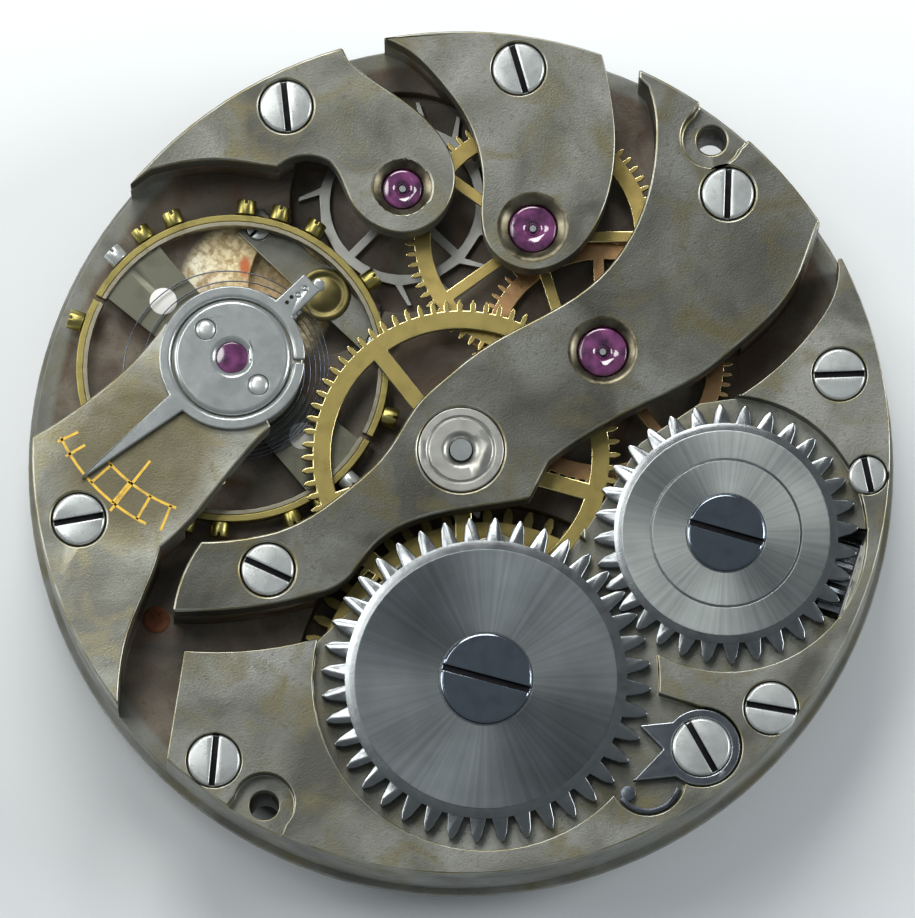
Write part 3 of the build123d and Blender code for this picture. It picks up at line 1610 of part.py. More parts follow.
def winding_phase():
    """The turn that puts a tooth of the winding pinion into a gap of the crown wheel."""
    pitch = 360 / crown_teeth
    gap = crown_phase + pitch / 2 - stem_angle
    gap = (gap + pitch / 2) % pitch - pitch / 2
    reach = (winding_from + winding_to) / 2 - hypot(crown.X, crown.Y)
    return 180 - degrees(radians(gap) * reach / winding_tip_r)


def winding_pinion():
    """The pinion on the stem axis that drives the crown wheel."""
    shape = stem_toothed(winding_teeth, winding_root_r, winding_tip_r, winding_from, winding_to,
                         winding_phase())
    return one(shape - stem_rod(stem_r + fit, winding_from - over, winding_to + over))


def sliding_pinion():
    """The clutch pinion, with its yoke groove and its square hole."""
    shape = stem_rod(sliding_r, sliding_from + sliding_end_w, sliding_to)
    shape += stem_toothed(sliding_teeth, sliding_root_r, sliding_r, sliding_from,
                          sliding_from + sliding_end_w, 0)
    groove = stem_rod(sliding_r + over, sliding_groove_from,
                      sliding_groove_from + sliding_groove_w)
    groove -= stem_rod(sliding_groove_r, sliding_from, sliding_to)
    hole = Box(square_hole_side, square_hole_side, plate_r)
    middle = Pos(0, 0, stem_z) * Rot(0, 0, stem_angle) * Rot(0, 90, 0) * Pos(0, 0, sliding_to)
    return one(shape - groove - middle * hole)


lever_high = lever_low + lever_t


def yoke():
    """The lever that shifts the sliding pinion."""
    shape = bar(yoke_pivot, yoke_pin_place, yoke_w, lever_low, lever_high)
    shape += disc(yoke_pivot, yoke_boss_r, lever_low, lever_high)
    shape += disc(yoke_pin_place, yoke_w / 2, lever_low, lever_high)
    shape += disc(yoke_pin_place, yoke_pin_r, lever_low, stem_z - sliding_groove_r - air)
    return one(shape - disc(yoke_pivot, yoke_post_r + fit, lever_low - over, lever_high + over))


def yoke_spring():
    """The flat spring that presses the yoke outward."""
    root = stem_place(yoke_spring_root_along, yoke_spring_root_aside)
    end = stem_place(yoke_spring_along, yoke_spring_aside)
    return one(bar(root, end, yoke_spring_w, lever_low, lever_high)
               + disc(root, yoke_spring_foot_r, lever_low, lever_high))


def setting_lever():
    """The lever that turns with the stem's pull and shifts the yoke."""
    tail = stem_place(setting_tail_along, setting_tail_aside)
    shape = disc(setting_screw, setting_boss_r, lever_low, lever_high)
    shape += bar(setting_screw, tail, setting_lever_w, lever_low, lever_high)
    shape += disc(tail, setting_lever_w / 2, lever_low, lever_high)
    return one(shape - disc(setting_screw, setting_screw_shank_r + fit, lever_low - over,
                            lever_high + over))


def setting_lever_screw():
    """The long screw that the setting lever turns on."""
    return one(screw(setting_screw, setting_screw_r, head_low, bridge_top + screw_rise,
                     setting_screw_shank_r, head_low - lever_low, setting_slot_angle))


def setting_cover_plate():
    """The thin plate that keeps the levers in their recess."""
    shape = cover_shape(0, 0, cover_t)
    shape -= disc(setting, cover_notch_r, -over, cover_t + over)
    for place in cover_screw_places():
        shape -= taper(place, cover_screw_r + fit, cover_screw_shank_r + fit, 0, cover_t)
    return one(shape)


def cover_screw(place):
    """A countersunk screw of the cover plate, with its head on the dial side."""
    body = taper(place, cover_screw_r, cover_screw_shank_r, 0, cover_t)
    body -= Pos(place.X, place.Y) * Rot(0, 0, stem_angle) * Box(
        2 * (cover_screw_r + over), small_slot_w, small_slot_h)
    return body + disc(place, cover_screw_shank_r, cover_t, cover_t + cover_screw_l)


# The motion work on the dial side

minute_phase = stem_angle + 180
cannon_phase = mesh_phase(stem_angle + 180, minute_teeth, minute_phase, cannon_leaves)
minute_pinion_phase = mesh_phase(stem_angle, hour_teeth, stem_angle, minute_leaves)
setting_phase = mesh_phase(stem_angle, minute_teeth, minute_phase, setting_teeth)


def cannon_pinion():
    """The cannon pinion, which carries the minute hand."""
    face = pinion_face(centre, cannon_leaves, cannon_module, cannon_phase)
    shape = slab(face, cannon_leaf_low, cannon_leaf_low + cannon_leaf_h)
    low = dial_recess_h - cannon_length
    seat_top = hour_wheel_low - hour_pipe_length
    shape += disc(centre, cannon_pipe_r, seat_top, cannon_leaf_low)
    shape += disc(centre, minute_seat_r, low, seat_top)
    return one(shape - disc(centre, centre_pivot_r + fit, low - over, dial_recess_h + over))


def hour_wheel():
    """The hour wheel with the pipe that carries the hour hand."""
    face = wheel_face(centre, hour_teeth, hour_module, stem_angle)
    shape = slab(face, hour_wheel_low, hour_wheel_low + motion_wheel_t)
    shape += disc(centre, hour_pipe_r, hour_wheel_low - hour_pipe_length, hour_wheel_low)
    return one(shape - disc(centre, cannon_pipe_r + fit, -cannon_length, dial_recess_h))


def minute_wheel():
    """The minute wheel with its pinion."""
    face = wheel_face(minute, minute_teeth, cannon_module, minute_phase)
    shape = slab(face, minute_wheel_low, minute_wheel_low + motion_wheel_t)
    pinion = pinion_face(minute, minute_leaves, hour_module, minute_pinion_phase)
    shape += slab(pinion, hour_wheel_low, minute_wheel_low)
    return one(shape - disc(minute, minute_post_r + fit, hour_wheel_low - over, minute_wheel_low + over))


def setting_wheel():
    """The intermediate wheel between the minute wheel and the sliding pinion."""
    face = wheel_face(setting, setting_teeth, cannon_module, setting_phase)
    shape = slab(face, setting_wheel_low, setting_wheel_low + setting_wheel_t)
    return one(shape - disc(setting, setting_post_r + fit, setting_wheel_low - over,
                            setting_wheel_low + over))


nodes = {
    "main_plate": main_plate(),
    "barrel_bridge": barrel_bridge(),
    "train_bridge": train_bridge(),
    "fourth_cock": train_cock("fourth", fourth),
    "escape_cock": train_cock("escape", escape),
    "balance_cock": balance_cock(),
    "bridge_screws": bridge_screws(),
    "train_jewels": train_jewels(),
    "pallet_jewels": pallet_jewels(),
    "balance_jewels": balance_jewels(),
    "centre_bushings": centre_bushings(),
    "centre_wheel": centre_wheel(),
    "centre_pinion": centre_pinion(),
    "third_wheel": train_wheel(third, third_teeth, third_module, third_phase, third_wheel_low,
                               third_spokes, third_spoke_angle),
    "third_pinion": train_pinion(third, third_leaves, centre_module, third_pinion_phase,
                                 third_pinion_low, floor_z),
    "fourth_wheel": train_wheel(fourth, fourth_teeth, fourth_module, fourth_phase,
                                fourth_wheel_low, fourth_spokes, fourth_spoke_angle),
    "fourth_pinion": train_pinion(fourth, fourth_leaves, third_module, fourth_pinion_phase,
                                  fourth_pinion_low, floor_z),
    "escape_wheel": escape_wheel(),
    "escape_pinion": train_pinion(escape, escape_leaves, fourth_module, escape_pinion_phase,
                                  escape_pinion_low, escape_floor_z),
    "pallet_fork": pallet_fork(),
    "pallet_stones": pallet_stones(),
    "pallet_arbor": pallet_arbor(),
    "pallet_bridge": pallet_bridge(),
    "balance_wheel": balance_wheel(),
    "balance_rim": balance_rim(),
    "balance_screws": rim_screws(rim_screw_frames()),
    "timing_screws": rim_screws(timing_screw_frames()),
    "balance_staff": balance_staff(),
    "roller": roller(),
    "impulse_jewel": impulse_jewel(),
    "hairspring": hairspring(),
    "hairspring_collet": hairspring_collet(),
    "hairspring_stud": one(stud_body(0, spring_z - stud_drop)),
    "regulator": regulator(),
    "endstone_cap": endstone_cap(),
    "cock_screws": cock_screws(),
    "lower_endstone_cap": lower_endstone_cap(),
    "barrel_drum": barrel_drum(),
    "barrel_cover": barrel_cover(),
    "barrel_arbor": barrel_arbor(),
    "mainspring": mainspring(),
    "ratchet_wheel": ratchet_wheel(),
    "ratchet_screw": ratchet_screw(),
    "crown_wheel": crown_wheel(),
    "crown_wheel_core": crown_wheel_core(),
    "winding_screws": winding_screws(),
    "click": click_piece(),
    "click_spring": click_spring(),
    "winding_pinion": winding_pinion(),
    "sliding_pinion": sliding_pinion(),
    "setting_lever": setting_lever(),
    "setting_lever_screw": setting_lever_screw(),
    "yoke": yoke(),
    "yoke_spring": yoke_spring(),
    "setting_cover_plate": setting_cover_plate(),
    "small_screws": small_screws(),
    "cannon_pinion": cannon_pinion(),
    "hour_wheel": hour_wheel(),
    "minute_wheel": minute_wheel(),
    "setting_wheel": setting_wheel(),
}
for node_name, node in nodes.items():
    export_step(node, f"parts/{node_name}.step")
print("least gap of the hairspring to itself", round(least_spring_gap(), 3), "mm")
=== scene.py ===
# %% [markdown]
# # A mechanical watch movement
# The movement is seen from its bridge side, as a watchmaker sees it with the case back off.
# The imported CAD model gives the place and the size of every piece. This script gives the pieces
# their bevels, their finishes and a few finer shapes, and sets up the camera and the lights.

# %% Load the frame
import bpy
import json
import math
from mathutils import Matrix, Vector

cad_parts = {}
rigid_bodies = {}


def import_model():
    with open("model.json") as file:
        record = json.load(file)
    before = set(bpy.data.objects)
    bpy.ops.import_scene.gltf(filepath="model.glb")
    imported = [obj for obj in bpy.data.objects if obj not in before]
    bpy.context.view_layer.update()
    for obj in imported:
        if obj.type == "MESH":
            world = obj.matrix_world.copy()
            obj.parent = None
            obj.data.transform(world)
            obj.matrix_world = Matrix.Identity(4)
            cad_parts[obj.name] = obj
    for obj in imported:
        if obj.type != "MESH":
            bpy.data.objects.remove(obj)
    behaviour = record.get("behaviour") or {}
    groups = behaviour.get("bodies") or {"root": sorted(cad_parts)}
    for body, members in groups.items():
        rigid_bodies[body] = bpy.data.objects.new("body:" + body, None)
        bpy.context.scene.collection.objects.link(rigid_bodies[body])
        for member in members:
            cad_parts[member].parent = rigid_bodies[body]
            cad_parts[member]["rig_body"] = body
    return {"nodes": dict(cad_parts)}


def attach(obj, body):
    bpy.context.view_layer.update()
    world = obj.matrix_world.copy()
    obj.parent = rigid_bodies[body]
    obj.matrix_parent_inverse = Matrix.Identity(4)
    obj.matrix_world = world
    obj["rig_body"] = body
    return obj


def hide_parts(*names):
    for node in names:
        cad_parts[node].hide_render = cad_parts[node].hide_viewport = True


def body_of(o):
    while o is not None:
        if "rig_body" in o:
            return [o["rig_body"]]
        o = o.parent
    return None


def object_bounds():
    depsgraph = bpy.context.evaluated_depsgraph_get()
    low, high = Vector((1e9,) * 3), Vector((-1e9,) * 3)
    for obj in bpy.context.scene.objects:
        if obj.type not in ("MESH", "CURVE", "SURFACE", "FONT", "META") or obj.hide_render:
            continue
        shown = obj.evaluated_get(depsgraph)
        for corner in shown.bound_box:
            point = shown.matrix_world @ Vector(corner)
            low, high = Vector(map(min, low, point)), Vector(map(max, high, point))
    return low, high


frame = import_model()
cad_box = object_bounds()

mm = 0.001                              # a millimetre in Blender's metres
close = 0.012                           # mm; a corner this near to a circle or height lies on it
nodes = frame["nodes"]
print("the CAD box in mm:", [round(v / mm, 2) for corner in cad_box for v in corner])

# %% [markdown]
# ## The camera
# The photograph was taken from almost straight above, tilted eleven degrees towards the viewer,
# with a long lens. The focal length is worked out from the size of a millimetre in the picture.

# %% The camera
photo_height = 918                      # the long side of the photograph, in pixels
pixels_per_mm = 32.28                   # at the height of the bridges' tops
distance = 400.0 * mm
elevation = math.radians(79.0)
aim = Vector((-0.108, -0.30, 3.40)) * mm
sensor = 36.0                           # millimetres on the film, as Blender counts them
clip_reach = 100                        # the view is clipped this many times nearer and farther

camera_data = bpy.data.cameras.new("camera")
camera_data.sensor_width = sensor
camera_data.lens = pixels_per_mm * distance / mm / photo_height * sensor
camera_data.clip_start = distance / clip_reach
camera_data.clip_end = distance * clip_reach
camera = bpy.data.objects.new("camera", camera_data)
bpy.context.scene.collection.objects.link(camera)
away = Vector((0, -math.cos(elevation), math.sin(elevation)))
camera.location = aim + away * distance
camera.rotation_mode = "QUATERNION"
camera.rotation_quaternion = (-away).to_track_quat("-Z", "Y")
bpy.context.scene.camera = camera
print("lens", round(camera_data.lens, 1))

# %% [markdown]
# ## Floor and light
# The movement lies on a pale, slightly blue surface. Polished steel shows whatever is round it:
# the ceiling stays dim, so that flat steel is grey. Two broad soft panels at the left and at the
# right stand for windows. They make the white crescents on the jewels and the bright bevels on
# both sides, and a third panel at the back lights the bevels along the upper edge. The bevels
# that face the viewer stay dark. A weak panel overhead lifts the flat tops a little.


# %% Floor and light
def deselect():
    """Nothing stays selected before the next operator."""
    bpy.ops.object.select_all(action="DESELECT")


def lamp(name, place, size, power, colour):
    """A soft round panel that faces the movement, with its place and size in millimetres."""
    data = bpy.data.lights.new(name, "AREA")
    data.shape = "DISK"
    data.size = size * mm
    data.energy = power
    data.color = colour
    panel = bpy.data.objects.new(name, data)
    bpy.context.scene.collection.objects.link(panel)
    panel.location = Vector(place) * mm
    panel.rotation_mode = "QUATERNION"
    panel.rotation_quaternion = (-Vector(place)).to_track_quat("-Z", "Y")


lamp("panel_left", (-150, 30, 80), 100, 0.12, (1.0, 0.99, 0.97))
lamp("panel_right", (150, 20, 80), 90, 0.15, (0.98, 0.99, 1.0))
lamp("panel_back", (-20, 125, 130), 90, 0.16, (1.0, 0.99, 0.96))
lamp("panel_above", (-60, 50, 170), 60, 0.05, (1.0, 1.0, 0.98))

world = bpy.data.worlds.new("soft_room")
bpy.context.scene.world = world
world.use_nodes = True
world.node_tree.nodes["Background"].inputs["Color"].default_value = (0.82, 0.90, 0.96, 1)
world.node_tree.nodes["Background"].inputs["Strength"].default_value = 0.20
bpy.context.scene.view_settings.view_transform = "Standard"

floor_size = 800 * mm
floor_gap = 0.02 * mm                   # keeps the floor off the faces that lie on it
deselect()
bpy.ops.mesh.primitive_plane_add(size=floor_size, location=(0, 0, cad_box[0].z - floor_gap))
floor = bpy.context.active_object
floor.name = "floor"

# %% [markdown]
# ## Words for making finishes
# Every finish is a small tree of nodes on a Principled shader. Patterns read Object coordinates,
# which are metres here, so each helper takes the size of its spots in millimetres.


# %% Helpers for finishes
grain_strength = 0.6                    # how much of a grain's depth shows
flat = (1, 1, 0)                        # a scale that leaves the height out of a distance


def finish(name, colour, metallic, roughness):
    """A new material and its shader."""
    material = bpy.data.materials.new(name)
    material.use_nodes = True
    shader = material.node_tree.nodes["Principled BSDF"]
    shader.inputs["Base Color"].default_value = (*colour, 1)
    shader.inputs["Metallic"].default_value = metallic
    shader.inputs["Roughness"].default_value = roughness
    return material, shader


def wire(material, output, node, name):
    """Joins an output to the socket of that name."""
    material.node_tree.links.new(output, node.inputs[name])


def object_place(material, centre=(0, 0, 0), scale=(1, 1, 1)):
    """Object coordinates, counted from a place in millimetres."""
    tree = material.node_tree
    source = tree.nodes.new("ShaderNodeTexCoord")
    mapping = tree.nodes.new("ShaderNodeMapping")
    mapping.inputs["Location"].default_value = [-a * b * mm for a, b in zip(centre, scale)]
    mapping.inputs["Scale"].default_value = scale
    tree.links.new(source.outputs["Object"], mapping.inputs["Vector"])
    return mapping.outputs["Vector"]


def noise(material, vector, spot_size, detail=6.0, distortion=0.0):
    """A cloudy pattern whose spots are about as large as said, in millimetres."""
    node = material.node_tree.nodes.new("ShaderNodeTexNoise")
    node.inputs["Scale"].default_value = 1 / (spot_size * mm)
    node.inputs["Detail"].default_value = detail
    node.inputs["Distortion"].default_value = distortion
    wire(material, vector, node, "Vector")
    return node.outputs["Fac"]


def ramp(material, value, stops):
    """Colours spread over a value. Each stop is (value, colour)."""
    node = material.node_tree.nodes.new("ShaderNodeValToRGB")
    elements = node.color_ramp.elements
    while len(elements) < len(stops):
        elements.new(0.5)
    for element, (position, colour) in zip(elements, stops):
        element.position = position
        element.color = (*colour, 1)
    wire(material, value, node, "Fac")
    return node.outputs["Color"]


def step(material, value, low, high):
    """Black below one value, white above another."""
    return ramp(material, value, [(low, (0, 0, 0)), (high, (1, 1, 1))])


def blend_colours(material, factor, first, second, how="MIX"):
    """One colour over another. Each of the three is a number, a colour or an output."""
    node = material.node_tree.nodes.new("ShaderNodeMix")
    node.data_type = "RGBA"
    node.blend_type = how
    for socket, value in ((node.inputs[0], factor), (node.inputs[6], first),
                          (node.inputs[7], second)):
        if isinstance(value, float):
            socket.default_value = value
        elif isinstance(value, tuple):
            socket.default_value = (*value, 1)
        else:
            material.node_tree.links.new(value, socket)
    return node.outputs[2]


def spread(material, value, low, high, from_low=0.0, from_high=1.0):
    """A value stretched to run from low to high."""
    node = material.node_tree.nodes.new("ShaderNodeMapRange")
    node.inputs["From Min"].default_value = from_low
    node.inputs["From Max"].default_value = from_high
    node.inputs["To Min"].default_value = low
    node.inputs["To Max"].default_value = high
    wire(material, value, node, "Value")
    return node.outputs["Result"]


def reach(material, vector):
    """The distance from where the coordinates start, in metres."""
    node = material.node_tree.nodes.new("ShaderNodeVectorMath")
    node.operation = "LENGTH"
    material.node_tree.links.new(vector, node.inputs[0])
    return node.outputs["Value"]


def grain(material, shader, height, depth):
    """A bump of some depth, in millimetres, on top of the bumps that are there."""
    node = material.node_tree.nodes.new("ShaderNodeBump")
    node.inputs["Distance"].default_value = depth * mm
    node.inputs["Strength"].default_value = grain_strength
    wire(material, height, node, "Height")
    for link in list(shader.inputs["Normal"].links):
        wire(material, link.from_socket, node, "Normal")
    wire(material, node.outputs["Normal"], shader, "Normal")


# %% [markdown]
# ## Nickel and gilt
# The bridges are frosted nickel that has aged: grey, with clouds of olive and brown, fine specks
# and a dull grain. Three layers of noise of different sizes give the clouds, the stains and the
# specks. Their bevels were polished and stay lighter, with gilt where the nickel has worn off.
# Some bridges get a lighter or darker copy of the nickel: painted light and shade for how the
# lamps fall on each.


# %% Aged nickel
nickel_tones = ((0.10, 0.10, 0.085), (0.185, 0.19, 0.165), (0.27, 0.275, 0.25),
                (0.17, 0.155, 0.09))    # dark, middle and light clouds, and the patina
nickel_patina = 0.50                    # the noise value where its patina starts
stain_width = 0.22                      # how far above that value a stain is full
stain_cover = 0.85                      # how much of the nickel a stain hides at its middle


def shaded(colour, share):
    """The same colour, darker or lighter by a share."""
    return tuple(value * share for value in colour)


def clouds(material, dark, middle, light, patina, patina_share):
    """Clouds of three tones with stains and specks over them."""
    place = object_place(material)
    cloud = noise(material, place, 3.2, 8.0, 0.6)
    tone = ramp(material, cloud, [(0.34, dark), (0.50, middle), (0.66, light)])
    stain = step(material, noise(material, place, 1.5, 9.0, 0.8), patina_share,
                 patina_share + stain_width)
    tone = blend_colours(material, stain, tone, patina)
    speck = step(material, noise(material, place, 0.15, 3.0), 0.58, 0.72)
    return blend_colours(material, spread(material, speck, 0.0, 0.45), tone, dark)


def frosted(name, dark, middle, light, patina, stained=None):
    """Frosted metal that has aged. A stain is (place, inner radius, outer radius, colour)."""
    material, shader = finish(name, middle, 0.9, 0.45)
    tone = clouds(material, dark, middle, light, patina, nickel_patina)
    place = object_place(material)
    if stained:
        spot, inner_r, outer_r, colour = stained
        away_from_spot = reach(material, object_place(material, spot, flat))
        amount = spread(material, away_from_spot, stain_cover, 0.0, inner_r * mm, outer_r * mm)
        mottled = blend_colours(material, noise(material, place, 0.7, 6.0), colour,
                                shaded(colour, 0.55))
        tone = blend_colours(material, amount, tone, mottled)
    wire(material, tone, shader, "Base Color")
    wire(material, spread(material, noise(material, place, 0.8), 0.36, 0.60), shader, "Roughness")
    grain(material, shader, noise(material, place, 0.06, 4.0), 0.014)
    return material


nickel = frosted("aged_nickel", *nickel_tones)
scale_stain = ((-10.0, -0.2, 0), 1.9, 3.0, (0.19, 0.165, 0.09))
bridge_nickel_with_painted_light = {"pallet_bridge": nickel, "fourth_cock": nickel}
# Painted light and shade: each share makes a copy of the nickel lighter or darker for one bridge.
for node, share, stain in (("escape_cock", 1.1, None), ("barrel_bridge", 1.15, None),
                           ("train_bridge", 0.72, None), ("balance_cock", 2.1, scale_stain)):
    tones = [shaded(tone, share) for tone in nickel_tones]
    bridge_nickel_with_painted_light[node] = frosted("aged_nickel_painted_light_" + node, *tones, stain)


def mottled_metal(name, colour, spot_size, *stops):
    """Polished metal in two tones. Each stop is (noise value, colour)."""
    material, shader = finish(name, colour, 1.0, 0.36)
    tone = ramp(material, noise(material, object_place(material), spot_size, 5.0), stops)
    wire(material, tone, shader, "Base Color")
    return material


bright_edge = mottled_metal("worn_nickel_edge", (0.42, 0.42, 0.36), 0.9,
                            (0.36, (0.27, 0.24, 0.13)), (0.60, (0.42, 0.42, 0.36)))
# Painted shade: the sinks of the jewels are dark, for the shade in their deep cups.
sink_painted_shade = mottled_metal("jewel_sink_painted_shade", (0.4, 0.36, 0.25), 0.5,
                          (0.38, (0.08, 0.07, 0.045)), (0.62, (0.21, 0.19, 0.135)))

# %% [markdown]
# ## The plate
# The plate is nickel on its rim and underneath. Inside the pockets it is a dark brown gilt, and
# beside the balance it is sandy and lighter, with one rusty spot. Distances choose between them:
# from the plate's axis, from the middle of the sandy ground, and from below.

# %% Plate
third = (4.404, 3.142)
fourth = (2.237, 7.051)
escape = (-1.820, 8.315)
balance = (-7.104, 2.873)

plate_rim_r = 12.8                      # the gilt of the pockets ends here
sandy_middle, sandy_r = (-6.4, 5.4, 1.2), 2.35  # the sandy ground beside the balance
rust_middle, rust_r = (-6.75, 6.25, 1.2), 0.24  # a rusty spot on it
underside_z = 0.31                      # below this height the plate is bare nickel

plate_finish, plate_shader = finish("plate_gilt_and_nickel", (0.4, 0.35, 0.25), 0.0, 0.5)


def plate_cover(value, middle, width, full=1.0, fades=True):
    """A share that fades out, or in, over some width round a distance in millimetres."""
    ends = (full, 0.0) if fades else (0.0, full)
    return spread(plate_finish, value, *ends, (middle - width / 2) * mm,
                  (middle + width / 2) * mm)


dark_pocket_tone = clouds(plate_finish, (0.05, 0.042, 0.032), (0.12, 0.10, 0.07), (0.24, 0.20, 0.15),
               (0.09, 0.05, 0.024), 0.46)
sandy = clouds(plate_finish, (0.50, 0.38, 0.18), (0.90, 0.77, 0.45), (1.0, 0.95, 0.72),
               (0.62, 0.20, 0.05), 0.58)
crumbs = step(plate_finish, noise(plate_finish, object_place(plate_finish), 0.16, 5.0), 0.36, 0.60)
sandy = blend_colours(plate_finish, crumbs, (0.46, 0.33, 0.15), sandy)
from_rust = reach(plate_finish, object_place(plate_finish, rust_middle, (1.4, 0.8, 0.3)))
sandy = blend_colours(plate_finish, plate_cover(from_rust, rust_r, 0.16, full=0.9), sandy,
                      (0.55, 0.12, 0.02))
rim_tone = clouds(plate_finish, *nickel_tones, nickel_patina)
from_sandy = reach(plate_finish, object_place(plate_finish, sandy_middle, (1, 1, 0.3)))
tone = blend_colours(plate_finish, plate_cover(from_sandy, sandy_r, 0.3), dark_pocket_tone, sandy)
from_axis = reach(plate_finish, object_place(plate_finish, scale=flat))
tone = blend_colours(plate_finish, plate_cover(from_axis, plate_rim_r, 0.2, fades=False), tone,
                     rim_tone)
heights = plate_finish.node_tree.nodes.new("ShaderNodeSeparateXYZ")
wire(plate_finish, object_place(plate_finish), heights, "Vector")
underneath = plate_cover(heights.outputs["Z"], underside_z, 0.06)
tone = blend_colours(plate_finish, underneath, tone, rim_tone)
wire(plate_finish, tone, plate_shader, "Base Color")
wire(plate_finish, spread(plate_finish, noise(plate_finish, object_place(plate_finish), 0.8),
                          0.40, 0.65), plate_shader, "Roughness")
grain(plate_finish, plate_shader, noise(plate_finish, object_place(plate_finish), 0.07, 4.0), 0.02)

# %% [markdown]
# ## Steel and brass
# The screws and the regulator are mirror-polished steel, the winding wheels are brushed round
# their centres, and the wheels of the train are brass of three colours. Each keeps faint stains
# and hairline scratches, because a perfect mirror looks like glass. Most of the steel is partly
# diffuse and light, a painted reflection of a bright ceiling, while the screws of the ratchet and
# crown wheels are darker, a painted reflection of a dark one.


# %% Polished metals
wave_size, wave_depth = 1.3, 0.03       # mm; the faint waves on flat polished steel
tarnish_width = 0.36                    # how far above its start a stain is full


def polished(name, colour, roughness, tarnish, spot_size=0.6, stain_from=0.50, metallic=1.0):
    """Polished metal with faint stains and hairline scratches."""
    material, shader = finish(name, colour, metallic, roughness)
    place = object_place(material)
    stain = step(material, noise(material, place, spot_size, 4.0, 0.4), stain_from,
                 stain_from + tarnish_width)
    wire(material, blend_colours(material, stain, colour, tarnish), shader, "Base Color")
    wire(material, spread(material, noise(material, place, 0.3), roughness * 0.7, roughness * 1.5),
         shader, "Roughness")
    grain(material, shader, noise(material, place, 0.05, 3.0), 0.002)
    return material


# Painted reflection: partly diffuse steel with a light base, as if it mirrored a bright ceiling.
steel = polished("polished_steel", (0.42, 0.45, 0.445), 0.20, (0.32, 0.335, 0.33), metallic=0.6)
screw_steel_painted_sheen = polished("screw_steel_painted_sheen", (0.58, 0.61, 0.60), 0.26, (0.40, 0.42, 0.41), 0.9,
                       metallic=0.6)
# Painted reflection: a darker copy for the ratchet and crown screws, as if they mirrored dark.
steel_painted_dark_reflection = polished("polished_steel_painted_dark_reflection", (0.24, 0.28, 0.33), 0.13, (0.16, 0.18, 0.21))
for material in (steel, screw_steel_painted_sheen, steel_painted_dark_reflection):
    grain(material, material.node_tree.nodes["Principled BSDF"],
          noise(material, object_place(material), wave_size, 1.0), wave_depth)
dark_steel = polished("grey_steel", (0.40, 0.43, 0.45), 0.25, (0.22, 0.24, 0.26))
# Painted shade: nearly black steel for the slots of the screws and for the regulator's rivets.
shadow_steel = polished("slot_and_rivet_painted_shade", (0.025, 0.025, 0.028), 0.6, (0.01, 0.01, 0.01), 0.2)
balance_steel = polished("balance_steel", (0.15, 0.15, 0.115), 0.38, (0.10, 0.098, 0.07))
spring_steel = polished("blue_grey_spring_steel", (0.20, 0.24, 0.33), 0.25, (0.12, 0.13, 0.15))
cream_metal = polished("cream_polish", (0.96, 0.95, 0.90), 0.35, (0.90, 0.87, 0.78), metallic=0.0)
tooth_steel = polished("tooth_steel", (0.30, 0.32, 0.33), 0.20, (0.16, 0.17, 0.18))
click_steel = polished("click_steel", (0.13, 0.145, 0.17), 0.30, (0.07, 0.08, 0.09))
ring_steel = polished("ring_steel", (0.44, 0.44, 0.41), 0.34, (0.30, 0.30, 0.26))
rim_steel = polished("balance_inner_rim", (0.30, 0.28, 0.21), 0.34, (0.14, 0.125, 0.085))
brass = polished("golden_brass", (0.36, 0.29, 0.10), 0.36, (0.22, 0.17, 0.06))
wheel_brass = polished("wheel_brass", (0.52, 0.40, 0.14), 0.32, (0.30, 0.22, 0.07))
bright_brass = polished("bright_brass_edge", (0.98, 0.86, 0.42), 0.16, (0.80, 0.62, 0.24))
rim_brass = polished("tarnished_brass", (0.34, 0.285, 0.10), 0.32, (0.16, 0.13, 0.045))
screw_brass = polished("olive_brass", (0.42, 0.37, 0.12), 0.30, (0.22, 0.19, 0.06))
dull_brass = polished("dull_brass", (0.17, 0.145, 0.06), 0.36, (0.07, 0.058, 0.026))
copper = polished("copper_brass", (0.72, 0.42, 0.20), 0.28, (0.42, 0.22, 0.10))
old_gilt = polished("old_gilt", (0.85, 0.56, 0.10), 0.42, (0.40, 0.27, 0.10), 0.35, 0.44)
rust = polished("rusty_steel", (0.22, 0.09, 0.05), 0.6, (0.10, 0.04, 0.02), 0.15)

barrel = (0.771, -7.219)
crown = (8.205, -2.628)
streaks_round = 110.0                   # how many streaks stand side by side round a wheel


def brushed_round(name, colour, centre):
    """Steel brushed round its centre, with fine streaks that run outwards."""
    material, shader = finish(name, colour, 1.0, 0.34)
    shader.inputs["Anisotropic"].default_value = 0.7
    tangent = material.node_tree.nodes.new("ShaderNodeTangent")
    tangent.direction_type = "RADIAL"
    tangent.axis = "Z"
    wire(material, tangent.outputs["Tangent"], shader, "Tangent")
    place = object_place(material)
    tone = ramp(material, noise(material, place, 1.6, 6.0),
                [(0.3, shaded(colour, 0.72)), (0.7, colour)])
    angle = material.node_tree.nodes.new("ShaderNodeTexGradient")
    angle.gradient_type = "RADIAL"
    wire(material, object_place(material, (*centre, 0)), angle, "Vector")
    streaks = material.node_tree.nodes.new("ShaderNodeTexNoise")
    streaks.noise_dimensions = "1D"
    streaks.inputs["Scale"].default_value = streaks_round
    streaks.inputs["Detail"].default_value = 5.0
    wire(material, angle.outputs["Fac"], streaks, "W")
    streak = ramp(material, streaks.outputs["Fac"],
                  [(0.30, (0.86, 0.86, 0.86)), (0.70, (1.08, 1.08, 1.08))])
    wire(material, blend_colours(material, 1.0, tone, streak, "MULTIPLY"), shader, "Base Color")
    grain(material, shader, noise(material, place, 0.05, 3.0), 0.003)
    return material


# Painted shade: the ratchet wheel's steel is a darker copy of the crown wheel's.
ratchet_steel_painted_shade = brushed_round("ratchet_steel_painted_shade", (0.20, 0.225, 0.235), barrel)
crown_steel = brushed_round("crown_steel", (0.42, 0.46, 0.45), crown)

